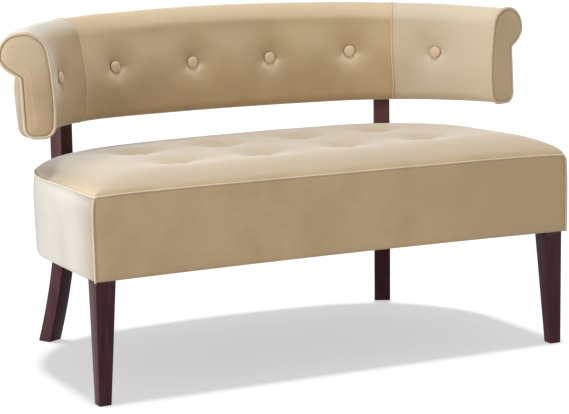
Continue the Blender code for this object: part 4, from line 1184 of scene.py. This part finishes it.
bolt_boxes = (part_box("rear_leg_bolt_right"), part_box("post_bolt_right"))
bolt_levels = [(low.z + high.z) / 2 for low, high in bolt_boxes]
for side, word in sides:
    leg = front_leg("front_leg_wood_" + word, side)
    stand_for(leg, "espresso_stained_wood", "front_leg_" + word)
    leg = rear_leg("rear_leg_wood_" + word, side, painted_light_espresso if side > 0 else espresso)
    for z in bolt_levels:
        for start, radius in ((hole_start, hole_radius), (post_depth - head_depth, head_radius)):
            hole = post_place(start, 0, z, side), post_place(hole_end, 0, z, side)
            cut_away(leg, round_hole(*hole, radius))
    stand_for(leg, "espresso_stained_wood", "rear_leg_" + word)
print("bolt heights:", [round(z, 4) for z in bolt_levels])

# %% [markdown]
# ## Floor, backdrop and light
#
# The settee stands on a plain white floor in an even studio. A broad light straight above and
# four lamps round it, the strongest at the left, model the velvet. The floor has its own light
# from above, which throws no shadow of the back, because the photograph's soft shadow is only
# that of the seat and legs. The camera sees the world and the lit floor as plain white, which
# is done with the light path, so no extra light falls on the velvet for it.

# %% Floor and lamps
floor_reach, floor_drop, floor_share, floor_glow, ambient = 30, 0.0002, 0.60, 0.535, 0.36
sun_level, sun_height, lamp_size, lamp_aim, back_above = 0.62, 4, 1.8, Vector((0, 0, 0.4)), 0.45


def seen_directly(tree, low, high):
    """The high value where the camera, a gloss or a clear thing looks, otherwise the low one."""
    path = tree.nodes.new("ShaderNodeLightPath").outputs
    seen = path["Is Camera Ray"]
    for other in ("Is Glossy Ray", "Is Transmission Ray"):
        seen = add_node(tree, "ShaderNodeMath", "Value", {0: seen, 1: path[other]},
                        operation="MAXIMUM")
    values = {"Value": seen, "To Min": low, "To Max": high}
    return add_node(tree, "ShaderNodeMapRange", "Result", values)


def stage_floor():
    mesh = bpy.data.meshes.new("studio_floor")
    signs = ((-1, -1), (1, -1), (1, 1), (-1, 1))
    corners = [(x * floor_reach, y * floor_reach, 0) for x, y in signs]
    mesh.from_pydata(corners, [], [(0, 1, 2, 3)])
    floor = add_object("studio_floor", mesh)
    floor.location.z = -floor_drop
    material, tree, shader = node_material("white_floor")
    set_inputs(shader, {"Base Color": (floor_share, floor_share, floor_share, 1), "Roughness": 1,
                        "Specular IOR Level": 0, "Emission Color": (1, 1, 1, 1),
                        "Emission Strength": seen_directly(tree, 0, floor_glow)})
    mesh.materials.append(material)
    return floor


def white_world():
    world = bpy.data.worlds.new("studio")
    world.use_nodes = True
    bpy.context.scene.world = world
    set_inputs(world.node_tree.nodes["Background"], {
        "Color": (1, 1, 1, 1), "Strength": seen_directly(world.node_tree, ambient, 1)})


def light(name, kind, place, aim, energy):
    data = bpy.data.lights.new(name, kind)
    data.energy = energy
    item = add_object(name, data)
    item.location = place
    item.rotation_euler = (aim - place).to_track_quat("-Z", "Y").to_euler()
    return item


def sun(name, width):
    item = light(name, "SUN", Vector((0, 0, sun_height)), Vector((0, 0, 0)), sun_level * pi)
    item.data.angle = radians(width)
    return item


def lamp(name, place, level):
    """A square lamp. Its level is how bright it makes white paper that faces it at its aim."""
    place = Vector(place)
    item = light(name, "AREA", place, lamp_aim, level * (pi * (place - lamp_aim).length) ** 2)
    item.data.size = lamp_size
    return item


def listed(name, pieces, state):
    """A list of pieces that a lamp either lights or throws shadows from, or leaves out."""
    group = bpy.data.collections.new(name)
    for piece in pieces:
        group.objects.link(piece)
    for entry in group.collection_objects:
        entry.light_linking.link_state = state
    return group


floor = stage_floor()
white_world()
overhead, above_floor = sun("overhead", 10), sun("above_floor", 7)
lamps = [lamp("front_left", (-3.8, -1.7, 2.1), 0.37), lamp("left", (-4.2, 0.3, 0.7), 0.62),
         lamp("front_right", (2.4, -3.6, 1.5), 0.12), lamp("right", (4.0, 0.4, 1.6), 0.13)]

without_floor = listed("without_floor", [floor], "EXCLUDE")
for item in [overhead] + lamps:
    item.light_linking.receiver_collection = without_floor
above_floor.light_linking.receiver_collection = listed("only_floor", [floor], "INCLUDE")
back_pieces = [item for item in bpy.data.objects if item.type == "MESH" and item != floor and
               min((item.matrix_world @ Vector(spot)).z for spot in item.bound_box) > back_above]
above_floor.light_linking.blocker_collection = listed("without_back", back_pieces, "EXCLUDE")
bpy.context.scene.view_settings.view_transform = "Standard"
